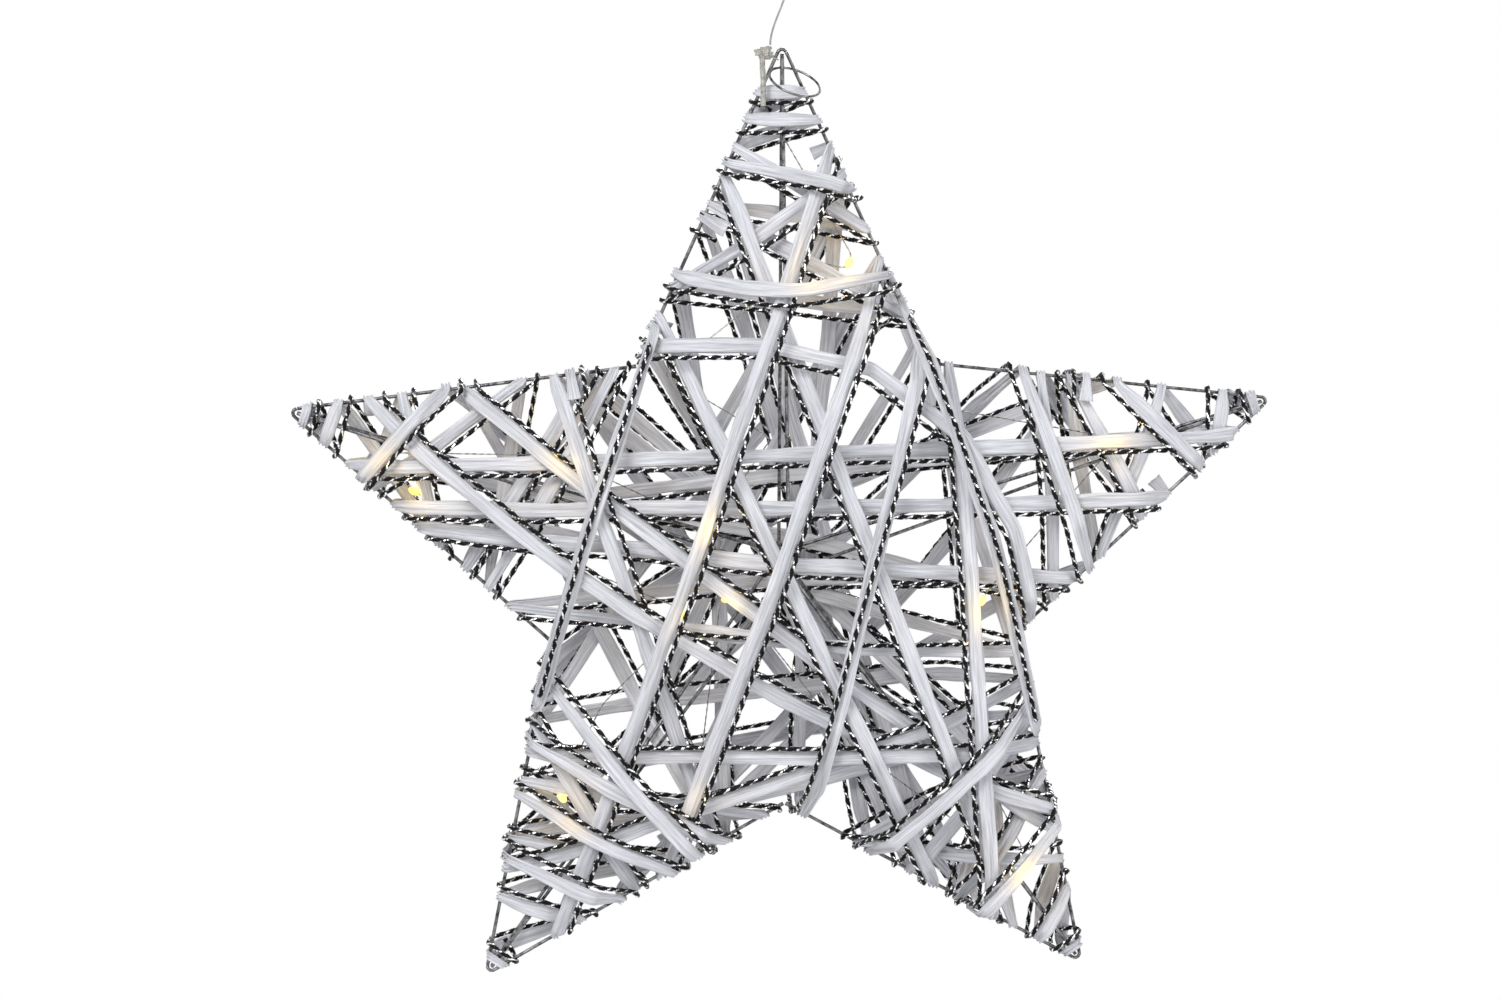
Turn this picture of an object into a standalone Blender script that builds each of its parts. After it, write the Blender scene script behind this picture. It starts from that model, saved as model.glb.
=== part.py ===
"""A hanging LED Christmas star: a wire star frame wound with white paper ribbon and silver cord.

World frame, in metres: the origin is the hanging eye of the battery box, +Z is up, the star's front
looks along -Y, and the star lies in the plane y = 0 below the box. Each mesh or curve object is one
closed solid and one node. A winding is one unbroken strip or cord: its front and back runs are
stretched from slot to slot on the outline wire, over the ridges and over what was wound before.
"""

import math

import bmesh
import bpy
import numpy as np
from mathutils import Matrix, Vector
from mathutils.kdtree import KDTree

# Star frame
TIP_RADIUS = 0.2100  # centre to the point where a tip's two edges would meet
NOTCH_RADIUS = 0.1000
HUB_DEPTH = 0.0260  # plane of the outline to the middle of a hub
FRAME_WIRE_RADIUS = 0.00075
TIP_BEND_RADIUS = 0.0018
HUB_NUGGET_RADIUS = 0.0022
HUB_FLATTENING_SHARE = 0.8
STAR_TURN = math.radians(0.6)
ARM_STEP = math.radians(72.0)
FIT_GAP = 0.0003  # between pieces that rest on each other

# Windings
RIBBON_WIDTH = 0.0060
RIBBON_THICKNESS = 0.0007
CORD_RADIUS = 0.00090
WIND_GAP = 0.00060  # kept between a run and what it lies on
RUN_SIDE_GAP = 0.0009
HEIGHT_CELL = 0.0010
TAIL_LENGTH = 0.0080
PAIR_OFFSET = 0.0043  # ribbon middle to cord middle
WIDEST_PAIR = 0.0064  # the same along the outline, at most
SLACK_HEIGHT = 0.00050  # a bend of a run that is flatter than this is left out
BOW_STEP = 0.0450
SLOTS_PER_EDGE = 11
FIRST_SLOT_SHARE = 0.035  # of an edge, kept free at the tip
EDGE_WIDTH_SHARE = 0.62  # the ribbon folds narrower where it passes round the wire

# Fairy lights
STRING_RADIUS = 0.0003
STRING_DIVE = 0.0007  # how far below the sleeve the string turns in under the windings
BEAD_RADIUS = 0.0016
BEAD_NECK_RADIUS = 0.0010
BEAD_LENGTH = 0.0050
BEAD_SHOULDER = 0.0012
MERGE_DISTANCE = 0.00001

# Ring below the top tip
RING_RADIUS = 0.0106
RING_WIRE_RADIUS = 0.0004
RING_DROOP = math.radians(28.0)
RING_LEAN = math.radians(14.0)
RING_YAW = math.radians(8.0)
RING_ALONG = 0.0045  # its rearmost point, to the right of the tip
RING_BACK = 0.0015  # its rearmost point behind the outline's plane
RING_BELOW_TIP = 0.0105  # its rearmost point below the tip
RING_HINGE_TURNS = (math.radians(-40.0), math.radians(35.0))  # its hinge line cuts it here

# Lead, sleeve and tie
LEAD_RADIUS = 0.0004
LEAD_IN_BOX = 0.0030
LEAD_STRAIGHT = 0.0060  # how far it hangs straight out of the box
SLEEVE_RADIUS = 0.0010
SLEEVE_ASIDE = 0.0080  # from the tip to the sleeve's middle
SLEEVE_TOP_BELOW_TIP = 0.0072
SLEEVE_BEND_BELOW_TIP = 0.0160
SLEEVE_END_BELOW_TIP = 0.0250
SLEEVE_STEPS = 5
TIE_WIDTH = 0.0070
TIE_HEIGHT = 0.0042
TIE_DEPTH = 0.0034
TIE_BELOW_TIP = 0.0033
LOOP_RADIUS = 0.0003
LOOP_BELOW_TIP = 0.0062
LEAD_DROP = 0.0310  # box bottom to tip

# Battery box
CELL_RADIUS = 0.0071
CELL_LENGTH = 0.0492
CELL_BUTTON_RADIUS = 0.0027
CELL_BUTTON_HEIGHT = 0.0012
CELL_GAP = 0.0004
CASE_WALL = 0.0012
CASE_ROUNDING = 0.0008
SWITCH_BAY = 0.0070
CONTACT_THICKNESS = 0.0004
CONTACT_WIDTH = 0.0090
EYE_HOLE_RADIUS = 0.0035
EYE_WALL = 0.0018
EYE_THICKNESS = 0.0024
EYE_NECK = 0.0010  # case top below the eye's hole
COVER_THICKNESS = 0.0014
COVER_LIP = 0.0012
COVER_RIB = 0.0008
COVER_RIB_PITCH = 0.0022
COVER_RIB_LENGTH = 0.0120
COVER_RIBS = 3
KNOB_WIDTH = 0.0030
KNOB_HEIGHT = 0.0026
KNOB_STAND = 0.0012
KNOB_TRAVEL = 0.0030
KNOB_FOOT = 0.0010
LEAD_HOLE_CLEARANCE = 0.0003
OVERRUN = 0.0010

COLOURS = {
    "galvanised": ((0.62, 0.63, 0.65), 0.32, 1.0),
    "ribbon": ((0.86, 0.87, 0.92), 0.72, 0.0),
    "silver_cord": ((0.42, 0.43, 0.45), 0.28, 1.0),
    "silver_wire": ((0.75, 0.74, 0.72), 0.25, 1.0),
    "led": ((1.0, 0.86, 0.45), 0.15, 0.0),
    "clear": ((0.80, 0.79, 0.75), 0.20, 0.0),
    "case": ((0.86, 0.87, 0.88), 0.35, 0.0),
    "cell": ((0.30, 0.34, 0.40), 0.35, 0.0),
    "contact": ((0.70, 0.70, 0.68), 0.25, 1.0),
}

TOP, RIGHT, RIGHT_LEG, LEFT_LEG, LEFT = range(5)

# Each entry is a slot: arm, side (0 anticlockwise of the tip, 1 clockwise) and its number from the
# tip. Runs go from slot to slot, first on the front, then on the back, and so on by turns.
WINDING_SLOT_SHARES = {
    "top": [
        (TOP, 0, 2), (TOP, 1, 2), (TOP, 0, 3), (TOP, 1, 3), (TOP, 0, 4), (TOP, 1, 7),
        (TOP, 0, 6), (TOP, 1, 10), (TOP, 0, 9), (TOP, 1, 5),
        (RIGHT_LEG, 1, 11), (TOP, 1, 11), (LEFT_LEG, 0, 7), (TOP, 1, 8),
        (LEFT_LEG, 0, 3), (TOP, 1, 4),
    ],
    "right": [
        (RIGHT, 0, 1), (RIGHT, 1, 1), (RIGHT, 0, 2), (RIGHT, 1, 3), (RIGHT, 0, 4), (RIGHT, 1, 8),
        (RIGHT, 0, 7), (RIGHT, 1, 6), (RIGHT, 0, 8), (RIGHT, 1, 10),
        (LEFT, 0, 3), (RIGHT, 1, 2), (LEFT, 0, 6), (RIGHT, 1, 9),
        (LEFT, 0, 10), (RIGHT_LEG, 0, 11), (LEFT, 0, 5), (RIGHT, 1, 5),
    ],
    "right_leg": [
        (RIGHT_LEG, 0, 1), (RIGHT_LEG, 1, 1), (RIGHT_LEG, 0, 3), (RIGHT_LEG, 1, 2),
        (RIGHT_LEG, 0, 4), (RIGHT_LEG, 1, 9), (RIGHT_LEG, 0, 7), (RIGHT_LEG, 1, 5),
        (RIGHT_LEG, 0, 9), (RIGHT_LEG, 1, 7),
        (TOP, 0, 10), (RIGHT_LEG, 1, 6), (TOP, 0, 5), (RIGHT_LEG, 1, 3),
        (RIGHT, 0, 11), (RIGHT_LEG, 1, 4), (TOP, 0, 11), (RIGHT, 1, 11),
    ],
    "left_leg": [
        (LEFT_LEG, 0, 1), (LEFT_LEG, 1, 1), (LEFT_LEG, 0, 4), (LEFT_LEG, 1, 3),
        (LEFT_LEG, 0, 8), (LEFT_LEG, 1, 5), (LEFT_LEG, 0, 11), (LEFT_LEG, 1, 7),
        (LEFT_LEG, 0, 6), (LEFT_LEG, 1, 9),
        (RIGHT_LEG, 0, 10), (LEFT_LEG, 1, 4), (RIGHT_LEG, 0, 8), (LEFT_LEG, 1, 8),
    ],
    "left": [
        (LEFT, 0, 1), (LEFT, 1, 1), (LEFT, 0, 2), (LEFT, 1, 2), (LEFT, 0, 7), (LEFT, 1, 4),
        (LEFT, 0, 4), (LEFT, 1, 8), (LEFT, 0, 9), (LEFT, 1, 11), (LEFT, 0, 8), (LEFT, 1, 10),
        (RIGHT_LEG, 0, 5), (LEFT, 1, 6), (LEFT_LEG, 0, 9), (LEFT, 1, 9),
        (RIGHT_LEG, 0, 6), (LEFT, 1, 3),
    ],
}
# How many of a winding's runs stay on its own arm. The long runs come after all of these, one
# winding after the other, in this order.
RUNS_ON_ARM = {"right": 9, "left": 11, "left_leg": 9, "right_leg": 9, "top": 9}
# Runs that bow sideways: winding and run number, to the bow's control point as a share of the run.
BOW_SHARES = {("right_leg", 16): 0.50, ("left", 16): 0.11}

# The light string's route on the picture in pixels, and whether a lamp sits there.
PICTURE_WIDTH_PIXELS = 974.0
PICTURE_MIDDLE_PIXELS = (780.0, 560.0)
STRING_ROUTE_PIXELS = [
    (842, 262, True), (803, 262, True), (660, 372, False), (765, 433, False), (703, 515, True),
    (555, 452, True), (385, 455, True), (415, 487, True), (570, 560, False), (680, 610, True),
    (600, 700, False), (560, 795, True), (690, 787, True), (722, 592, True), (850, 745, False),
    (1022, 865, True), (965, 740, False), (978, 598, True), (1101, 440, True), (905, 400, False),
]
STRING_DEPTH_SHARE = 0.55


def flat(*values):
    """A point of the star's plane, or a direction in it, as an array."""
    return np.array(values, float)


def unit(vector):
    """The vector at length one."""
    return vector / np.linalg.norm(vector)


def at_angle(radius, angle):
    """The point of the star's plane at a radius and an angle from +X."""
    return flat(radius * math.cos(angle), radius * math.sin(angle))


def tip(arm):
    """The point where an arm's two edges would meet."""
    return at_angle(TIP_RADIUS, math.pi / 2 + STAR_TURN - arm * ARM_STEP)


def notch(arm, side):
    """The notch at the inner end of an arm's edge."""
    turn = math.pi / 2 + STAR_TURN - arm * ARM_STEP
    return at_angle(NOTCH_RADIUS, turn + (ARM_STEP / 2 if side == 0 else -ARM_STEP / 2))


EDGE_LENGTH = float(np.linalg.norm(tip(0) - notch(0, 0)))
HALF_TIP_ANGLE = math.acos(float(np.dot(unit(-tip(0)), unit(notch(0, 0) - tip(0)))))
CASE_TOP = -(EYE_HOLE_RADIUS + EYE_NECK)
CAVITY_WIDTH = 4 * CELL_RADIUS + 3 * CELL_GAP
CAVITY_DEPTH = 2 * CELL_RADIUS + 2 * CELL_GAP
CELL_SPAN = CELL_LENGTH + CELL_BUTTON_HEIGHT
CAVITY_LENGTH = CELL_SPAN + 2 * (CONTACT_THICKNESS + 2 * FIT_GAP)
CASE_WIDTH = CAVITY_WIDTH + 2 * (CASE_WALL + COVER_LIP)
GROOVE_DEPTH = COVER_THICKNESS + 2 * FIT_GAP
CASE_DEPTH = CAVITY_DEPTH + 2 * CASE_WALL + GROOVE_DEPTH
CASE_HEIGHT = CAVITY_LENGTH + SWITCH_BAY + 3 * CASE_WALL
CASE_BOTTOM = CASE_TOP - CASE_HEIGHT
CASE_FRONT = -CASE_DEPTH / 2
GROOVE_FRONT = CASE_FRONT + CASE_WALL + CAVITY_DEPTH
TIP_HEIGHT = CASE_BOTTOM - LEAD_DROP
STAR_MIDDLE = TIP_HEIGHT - TIP_RADIUS
WRAP_RADIUS = (
    FRAME_WIRE_RADIUS + WIND_GAP + max(RIBBON_THICKNESS / 2, CORD_RADIUS)
) * math.sqrt(2)


def material(name):
    """The node material of one of the colours above, made once."""
    made = bpy.data.materials.get(name)
    if made is None:
        colour, roughness, metallic = COLOURS[name]
        made = bpy.data.materials.new(name)
        made.use_nodes = True
        shader = made.node_tree.nodes["Principled BSDF"]
        shader.inputs["Base Color"].default_value = (*colour, 1.0)
        shader.inputs["Roughness"].default_value = roughness
        shader.inputs["Metallic"].default_value = metallic
    return made


def own_material(obj, look):
    """Gives an object a material of its own, named for it."""
    made = material(look).copy()
    made.name = obj.name
    obj.data.materials.clear()
    obj.data.materials.append(made)


def keep(obj, name, look, collection):
    """Names an object, moves it to a collection and gives it its material."""
    for owner in list(obj.users_collection):
        owner.objects.unlink(obj)
    collection.objects.link(obj)
    obj.name = name
    obj.data.name = name
    own_material(obj, look)
    return obj


def smooth(obj, angle=math.radians(40.0)):
    """Shades a mesh smooth, with sharp edges kept."""
    obj.data.polygons.foreach_set("use_smooth", [True] * len(obj.data.polygons))
    obj.data.set_sharp_from_angle(angle=angle)
    return obj


def wire(name, points, radius, look, collection, resolution=1):
    """A wire through a list of points, as a poly curve with filled ends."""
    curve = bpy.data.curves.new(name, "CURVE")
    curve.dimensions = "3D"
    curve.bevel_depth = radius
    curve.bevel_resolution = resolution
    curve.use_fill_caps = True
    curve.resolution_u = 1
    curve.twist_mode = "MINIMUM"
    spline = curve.splines.new("POLY")
    spline.points.add(len(points) - 1)
    for slot, point in zip(spline.points, points, strict=True):
        slot.co = (*point, 1.0)
    obj = bpy.data.objects.new(name, curve)
    collection.objects.link(obj)
    own_material(obj, look)
    return obj


def world(plane_point, y=0.0):
    """A point of the star's plane at a depth y, in the world frame."""
    return Vector((plane_point[0], y, plane_point[1] + STAR_MIDDLE))


def face_height(point):
    """How far the frame's faces stand out over a point of the star's plane."""
    best = 0.0
    for arm in range(5):
        for side in (0, 1):
            basis = np.column_stack([tip(arm), notch(arm, side)])
            along_tip, along_notch = np.linalg.solve(basis, point)
            if min(along_tip, along_notch) >= 0 and along_tip + along_notch <= 1:
                best = HUB_DEPTH * (1 - along_tip - along_notch)
    return best


def ridge_ends():
    """Depth and distance from the middle of a ridge wire's two ends."""
    half_gap = FRAME_WIRE_RADIUS + FIT_GAP / 2
    inner = HUB_NUGGET_RADIUS + FIT_GAP
    outer = TIP_RADIUS - TIP_BEND_RADIUS / math.sin(HALF_TIP_ANGLE)
    return (inner, HUB_DEPTH), (outer, half_gap)


def ridge_height(distance):
    """Depth of a ridge wire's middle at a distance from the star's middle."""
    (inner, deep), (outer, shallow) = ridge_ends()
    share = (distance - inner) / (outer - inner)
    return deep + (shallow - deep) * share


def frame_wires(collection):
    """The ten outline wires, the ten ridge wires and the two hub nuggets."""
    names = ["top", "right", "right_leg", "left_leg", "left"]
    notch_turn = math.acos(
        float(np.dot(unit(tip(0) - notch(0, 1)), unit(tip(1) - notch(0, 1))))
    )
    short = FRAME_WIRE_RADIUS / math.tan(notch_turn / 2)
    short += FIT_GAP / 2 / math.sin(notch_turn / 2)
    tangent = TIP_BEND_RADIUS / math.tan(HALF_TIP_ANGLE)
    for arm, label in enumerate(names):
        apex = tip(arm)
        axis = unit(-apex)
        bend_middle = apex + axis * (TIP_BEND_RADIUS / math.sin(HALF_TIP_ANGLE))
        for side in (0, 1):
            along = unit(notch(arm, side) - apex)
            inner_end = apex + along * (EDGE_LENGTH - short)
            start = apex + along * (tangent + (FIT_GAP if side == 1 else 0.0))
            points = [inner_end, start]
            if side == 0:
                first = start - bend_middle
                sweep = -(math.pi - 2 * HALF_TIP_ANGLE)
                steps = 6
                for step in range(1, steps + 1):
                    turn = sweep * step / steps
                    turned = flat(
                        first[0] * math.cos(turn) - first[1] * math.sin(turn),
                        first[0] * math.sin(turn) + first[1] * math.cos(turn),
                    )
                    points.append(bend_middle + turned)
            wire(
                f"outline_{label}_{side + 1}",
                [world(p) for p in points],
                FRAME_WIRE_RADIUS,
                "galvanised",
                collection,
            )
        (inner, deep), (outer, shallow) = ridge_ends()
        for face, sign in (("front", -1), ("back", 1)):
            ends = [
                world(-axis * inner, sign * deep),
                world(-axis * outer, sign * shallow),
            ]
            wire(f"ridge_{face}_{label}", ends, FRAME_WIRE_RADIUS, "galvanised", collection)
    for face, sign in (("front", -1), ("back", 1)):
        bpy.ops.mesh.primitive_uv_sphere_add(
            segments=16,
            ring_count=8,
            radius=HUB_NUGGET_RADIUS,
            location=world((0, 0), sign * HUB_DEPTH),
        )
        nugget = bpy.context.object
        nugget.scale = (1.0, HUB_FLATTENING_SHARE, 1.0)
        bpy.ops.object.transform_apply(location=False, rotation=False, scale=True)
        keep(smooth(nugget), f"hub_{face}", "galvanised", collection)


class Heights:
    """How far one face of the star stands out so far, on a grid over the star's plane."""

    def __init__(self):
        """Starts with the frame alone."""
        reach = TIP_RADIUS + RIBBON_WIDTH
        self.low = -reach
        self.count = int(round(2 * reach / HEIGHT_CELL)) + 1
        self.top = np.full((self.count, self.count), -HUB_DEPTH)
        ticks = self.low + HEIGHT_CELL * np.arange(self.count)
        self.x, self.z = np.meshgrid(ticks, ticks, indexing="ij")
        (inner, _), (outer, _) = ridge_ends()
        for arm in range(5):
            out = unit(tip(arm))
            ends = [out * inner, out * outer]
            heights = [ridge_height(d) + FRAME_WIRE_RADIUS for d in (inner, outer)]
            self.add(ends, heights, FRAME_WIRE_RADIUS)
            for side in (0, 1):
                edge = [tip(arm), notch(arm, side)]
                self.add(edge, [FRAME_WIRE_RADIUS] * 2, FRAME_WIRE_RADIUS)
        middle = [flat(0, 0), flat(0, 0)]
        self.add(middle, [HUB_DEPTH + HUB_NUGGET_RADIUS] * 2, HUB_NUGGET_RADIUS)

    def window(self, low, high):
        """Slices of the grid that cover a box of the plane."""
        first = np.clip(((low - self.low) / HEIGHT_CELL).astype(int) - 1, 0, self.count)
        last = np.clip(((high - self.low) / HEIGHT_CELL).astype(int) + 3, 0, self.count)
        return slice(first[0], last[0]), slice(first[1], last[1])

    def add(self, points, tops, half):
        """Raises the grid under a strip with given top heights at its points."""
        reach = half + HEIGHT_CELL
        for a, b, top_a, top_b in zip(points, points[1:], tops, tops[1:]):
            box = self.window(np.minimum(a, b) - reach, np.maximum(a, b) + reach)
            x, z = self.x[box] - a[0], self.z[box] - a[1]
            run = b - a
            length = max(float(run @ run), HEIGHT_CELL**2)
            share = np.clip((x * run[0] + z * run[1]) / length, 0, 1)
            away = np.hypot(x - share * run[0], z - share * run[1])
            top = top_a + (top_b - top_a) * share
            covered = away <= reach
            self.top[box][covered] = np.maximum(self.top[box][covered], top[covered])

    def over(self, point, half):
        """The highest top within a half width of a point."""
        reach = half + RUN_SIDE_GAP
        box = self.window(point - reach, point + reach)
        away = np.hypot(self.x[box] - point[0], self.z[box] - point[1])
        near = self.top[box][away <= reach]
        return float(near.max()) if len(near) else -HUB_DEPTH


def stretched(distances, needed):
    """Indices of the points that hold up a string stretched over the needed heights."""
    held = [0]
    for i in range(1, len(distances)):
        while len(held) > 1:
            a, b = held[-2], held[-1]
            rise = (needed[i] - needed[a]) * (distances[b] - distances[a])
            if needed[b] * (distances[i] - distances[a]) <= (
                needed[a] * (distances[i] - distances[a]) + rise
            ):
                held.pop()
            else:
                break
        held.append(i)
    return held


def thinned(held, distances, needed):
    """The held points without those whose loss lowers the string by very little."""
    held = list(held)
    while len(held) > 2:
        drops = []
        for k in range(1, len(held) - 1):
            a, b, c = held[k - 1], held[k], held[k + 1]
            share = (distances[b] - distances[a]) / (distances[c] - distances[a])
            drops.append(needed[b] - needed[a] - (needed[c] - needed[a]) * share)
        least = int(np.argmin(drops))
        if drops[least] > SLACK_HEIGHT:
            break
        held.pop(least + 1)
    return held


def lay_run(heights, start, end, half, thickness, bow=0.0):
    """Stretches one run over a face: its points in the plane and their heights."""
    length = float(np.linalg.norm(end - start))
    count = max(int(length / HEIGHT_CELL), 4)
    shares = np.linspace(0, 1, count + 1)[:, None]
    across = flat(end[1] - start[1], start[0] - end[0])
    control = (start + end) / 2 - across * bow
    path = (1 - shares) ** 2 * start + 2 * shares * (1 - shares) * control + shares**2 * end
    steps = np.linalg.norm(np.diff(path, axis=0), axis=1)
    distances = np.concatenate([[0.0], np.cumsum(steps)])
    needed = np.array([heights.over(p, half) for p in path]) + WIND_GAP + thickness / 2
    for i in (0, -1):
        needed[i] = max(needed[i], WRAP_RADIUS)
    held = thinned(stretched(distances, needed), distances, needed)
    if bow:
        marks = np.arange(1, int(distances[-1] / BOW_STEP) + 1) * BOW_STEP
        extra = {int(np.argmin(abs(distances - mark))) for mark in marks}
        tops = np.interp(distances, distances[held], needed[held])
        held = sorted(set(held) | extra)
        needed = tops
    points = [path[i] for i in held]
    levels = [float(needed[i]) for i in held]
    heights.add(points, [level + thickness / 2 for level in levels], half)
    return points, levels


def slot_place(slot):
    """A slot's place on the outline, its outward direction and its direction along the edge."""
    arm, side, number = slot
    apex = tip(arm)
    along = unit(notch(arm, side) - apex)
    outward = flat(along[1], -along[0]) * (1 if side == 0 else -1)
    share = FIRST_SLOT_SHARE + (1 - FIRST_SLOT_SHARE) * (number - 0.5) / SLOTS_PER_EDGE
    return apex + along * (share * EDGE_LENGTH), outward, along


def paired_places(slots, half):
    """The places of a ribbon (half -1) or of the cord beside it (half 1), slot by slot."""
    places = [slot_place(slot) for slot in slots]
    moved = []
    for i, (place, outward, along) in enumerate(places):
        slants = []
        for k in (i - 1, i + 1):
            if 0 <= k < len(places):
                slants.append(abs(float(unit(places[k][0] - place) @ outward)))
        aside = min(PAIR_OFFSET / min(slants), WIDEST_PAIR)
        moved.append((place + along * (aside / 2 * half), outward, along))
    return moved


class Strand:
    """One unbroken ribbon or cord under way: its points, from the first tail to the last."""

    def __init__(self, label, places, half, thickness):
        """Keeps what the strand follows; nothing is laid yet."""
        self.label = label
        self.places = places
        self.half = half
        self.thickness = thickness
        self.runs = []

    def lay(self, faces, number):
        """Lays one run; even runs are on the front, odd ones on the back."""
        bow = BOW_SHARES.get((self.label, number), 0.0)
        start, end = self.places[number][0], self.places[number + 1][0]
        face = number % 2
        self.runs.append(
            (face, *lay_run(faces[face], start, end, self.half, self.thickness, bow))
        )

    def lay_tail(self, faces, last):
        """Lays the short free end on the face opposite to the run next to it."""
        place, outward, _ = self.places[-1 if last else 0]
        inside = place - outward * TAIL_LENGTH
        face = (len(self.places) - 1) % 2 if last else 1
        ends = (place, inside) if last else (inside, place)
        tail = (face, *lay_run(faces[face], *ends, self.half, self.thickness))
        if last:
            self.runs.append(tail)
        else:
            self.runs.insert(0, tail)

    def sections(self):
        """Middle point, width direction and width share of each section along the strand."""
        rows = []
        for number, (face, points, levels) in enumerate(self.runs):
            sign = (-1, 1)[face]
            for i, (point, level) in enumerate(zip(points, levels)):
                before, after = points[max(i - 1, 0)], points[min(i + 1, len(points) - 1)]
                going = unit(after - before)
                across = flat(going[1], -going[0]) * -sign
                share = 1.0
                at_wire = (i == 0 and number > 0) or (
                    i == len(points) - 1 and number < len(self.runs) - 1
                )
                if at_wire:
                    along = self.places[number - 1 if i == 0 else number][2]
                    across = unit(across + (along if along @ across > 0 else -along))
                    share = EDGE_WIDTH_SHARE
                rows.append((world(point, sign * level), across, share))
            if number < len(self.runs) - 1:
                place, outward, along = self.places[number]
                across = along if along @ rows[-1][1] > 0 else -along
                rows.append((world(place + outward * WRAP_RADIUS), across, EDGE_WIDTH_SHARE))
        return rows


def least_self_gap(rows, half_width, half_thickness):
    """The least gap of a strand to itself, measured between points along its sides."""
    step = half_width
    points, marks = [], []
    run = 0.0
    for (a, wide_a, share_a), (b, wide_b, share_b) in zip(rows, rows[1:]):
        count = max(int((b - a).length / step), 1)
        for i in range(count):
            t = i / count
            wide = wide_a * (1 - t) + wide_b * t
            reach = half_width * (share_a * (1 - t) + share_b * t)
            for side in (-1, 0, 1):
                middle = a.lerp(b, t)
                middle = middle + Vector((wide[0], 0, wide[1])) * (side * reach)
                points.append(middle)
                marks.append(run + (b - a).length * t)
        run += (b - a).length
    tree = KDTree(len(points))
    for i, point in enumerate(points):
        tree.insert(point, i)
    tree.balance()
    least = RIBBON_WIDTH
    near = 2 * (WRAP_RADIUS + half_width) * math.pi
    for i, point in enumerate(points):
        for _, other, away in tree.find_range(point, RIBBON_WIDTH):
            if abs(marks[i] - marks[other]) > near:
                least = min(least, away - 2 * half_thickness)
    return least


def ribbon_strip(name, rows, collection):
    """The paper ribbon: an edge drawn along the route, then given its thickness."""
    bm = bmesh.new()
    middle, across, share = rows[0]
    reach = Vector((across[0], 0, across[1])) * (RIBBON_WIDTH / 2)
    pair = [bm.verts.new(middle - reach * share), bm.verts.new(middle + reach * share)]
    edge = bm.edges.new(pair)
    for middle, across, share in rows[1:]:
        made = bmesh.ops.extrude_edge_only(bm, edges=[edge])["geom"]
        fresh = {g for g in made if isinstance(g, bmesh.types.BMVert)}
        reach = Vector((across[0], 0, across[1])) * (RIBBON_WIDTH / 2)
        following = []
        for side, old in zip((-1, 1), pair, strict=True):
            vert = next(e.other_vert(old) for e in old.link_edges if e.other_vert(old) in fresh)
            vert.co = middle + reach * (side * share)
            following.append(vert)
        edge = next(e for e in following[0].link_edges if e.other_vert(following[0]) is following[1])
        pair = following
    mesh = bpy.data.meshes.new(name)
    bm.to_mesh(mesh)
    bm.free()
    obj = bpy.data.objects.new(name, mesh)
    collection.objects.link(obj)
    thick = obj.modifiers.new("thickness", "SOLIDIFY")
    thick.thickness = RIBBON_THICKNESS
    thick.offset = 0.0
    own_material(obj, "ribbon")
    return obj


def wind(collection):
    """Winds the five ribbons and the five cords, turn by turn, and measures them."""
    faces = [Heights(), Heights()]
    pairs = {}
    for label, slots in WINDING_SLOT_SHARES.items():
        ribbon_places, cord_places = (paired_places(slots, half) for half in (-1, 1))
        ribbon = Strand(label, ribbon_places, RIBBON_WIDTH / 2, RIBBON_THICKNESS)
        cord = Strand(label, cord_places, CORD_RADIUS, 2 * CORD_RADIUS)
        pairs[label] = (ribbon, cord)
        for strand in (ribbon, cord):
            strand.lay_tail(faces, last=False)
    for label, count in RUNS_ON_ARM.items():
        for number in range(count):
            for strand in pairs[label]:
                strand.lay(faces, number)
    for label, count in RUNS_ON_ARM.items():
        for number in range(count, len(WINDING_SLOT_SHARES[label]) - 1):
            for strand in pairs[label]:
                strand.lay(faces, number)
    for ribbon, cord in pairs.values():
        for strand in (ribbon, cord):
            strand.lay_tail(faces, last=True)
    for ribbon, cord in pairs.values():
        rows = ribbon.sections()
        gap = least_self_gap(rows, RIBBON_WIDTH / 2, RIBBON_THICKNESS / 2)
        ribbon_strip(f"ribbon_{ribbon.label}", rows, collection)
        print(f"ribbon_{ribbon.label}: {len(rows)} sections, least gap to itself {gap:.5f} m")
        rows = cord.sections()
        gap = least_self_gap(rows, CORD_RADIUS, CORD_RADIUS)
        wire(
            f"silver_cord_{cord.label}",
            [row[0] for row in rows],
            CORD_RADIUS,
            "silver_cord",
            collection,
            resolution=0,
        )
        print(f"silver_cord_{cord.label}: {len(rows)} sections, least gap to itself {gap:.5f} m")
    for face, heights in zip(("front", "back"), faces):
        print(f"{face} stands out {heights.top.max():.4f} m")
    return faces


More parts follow.
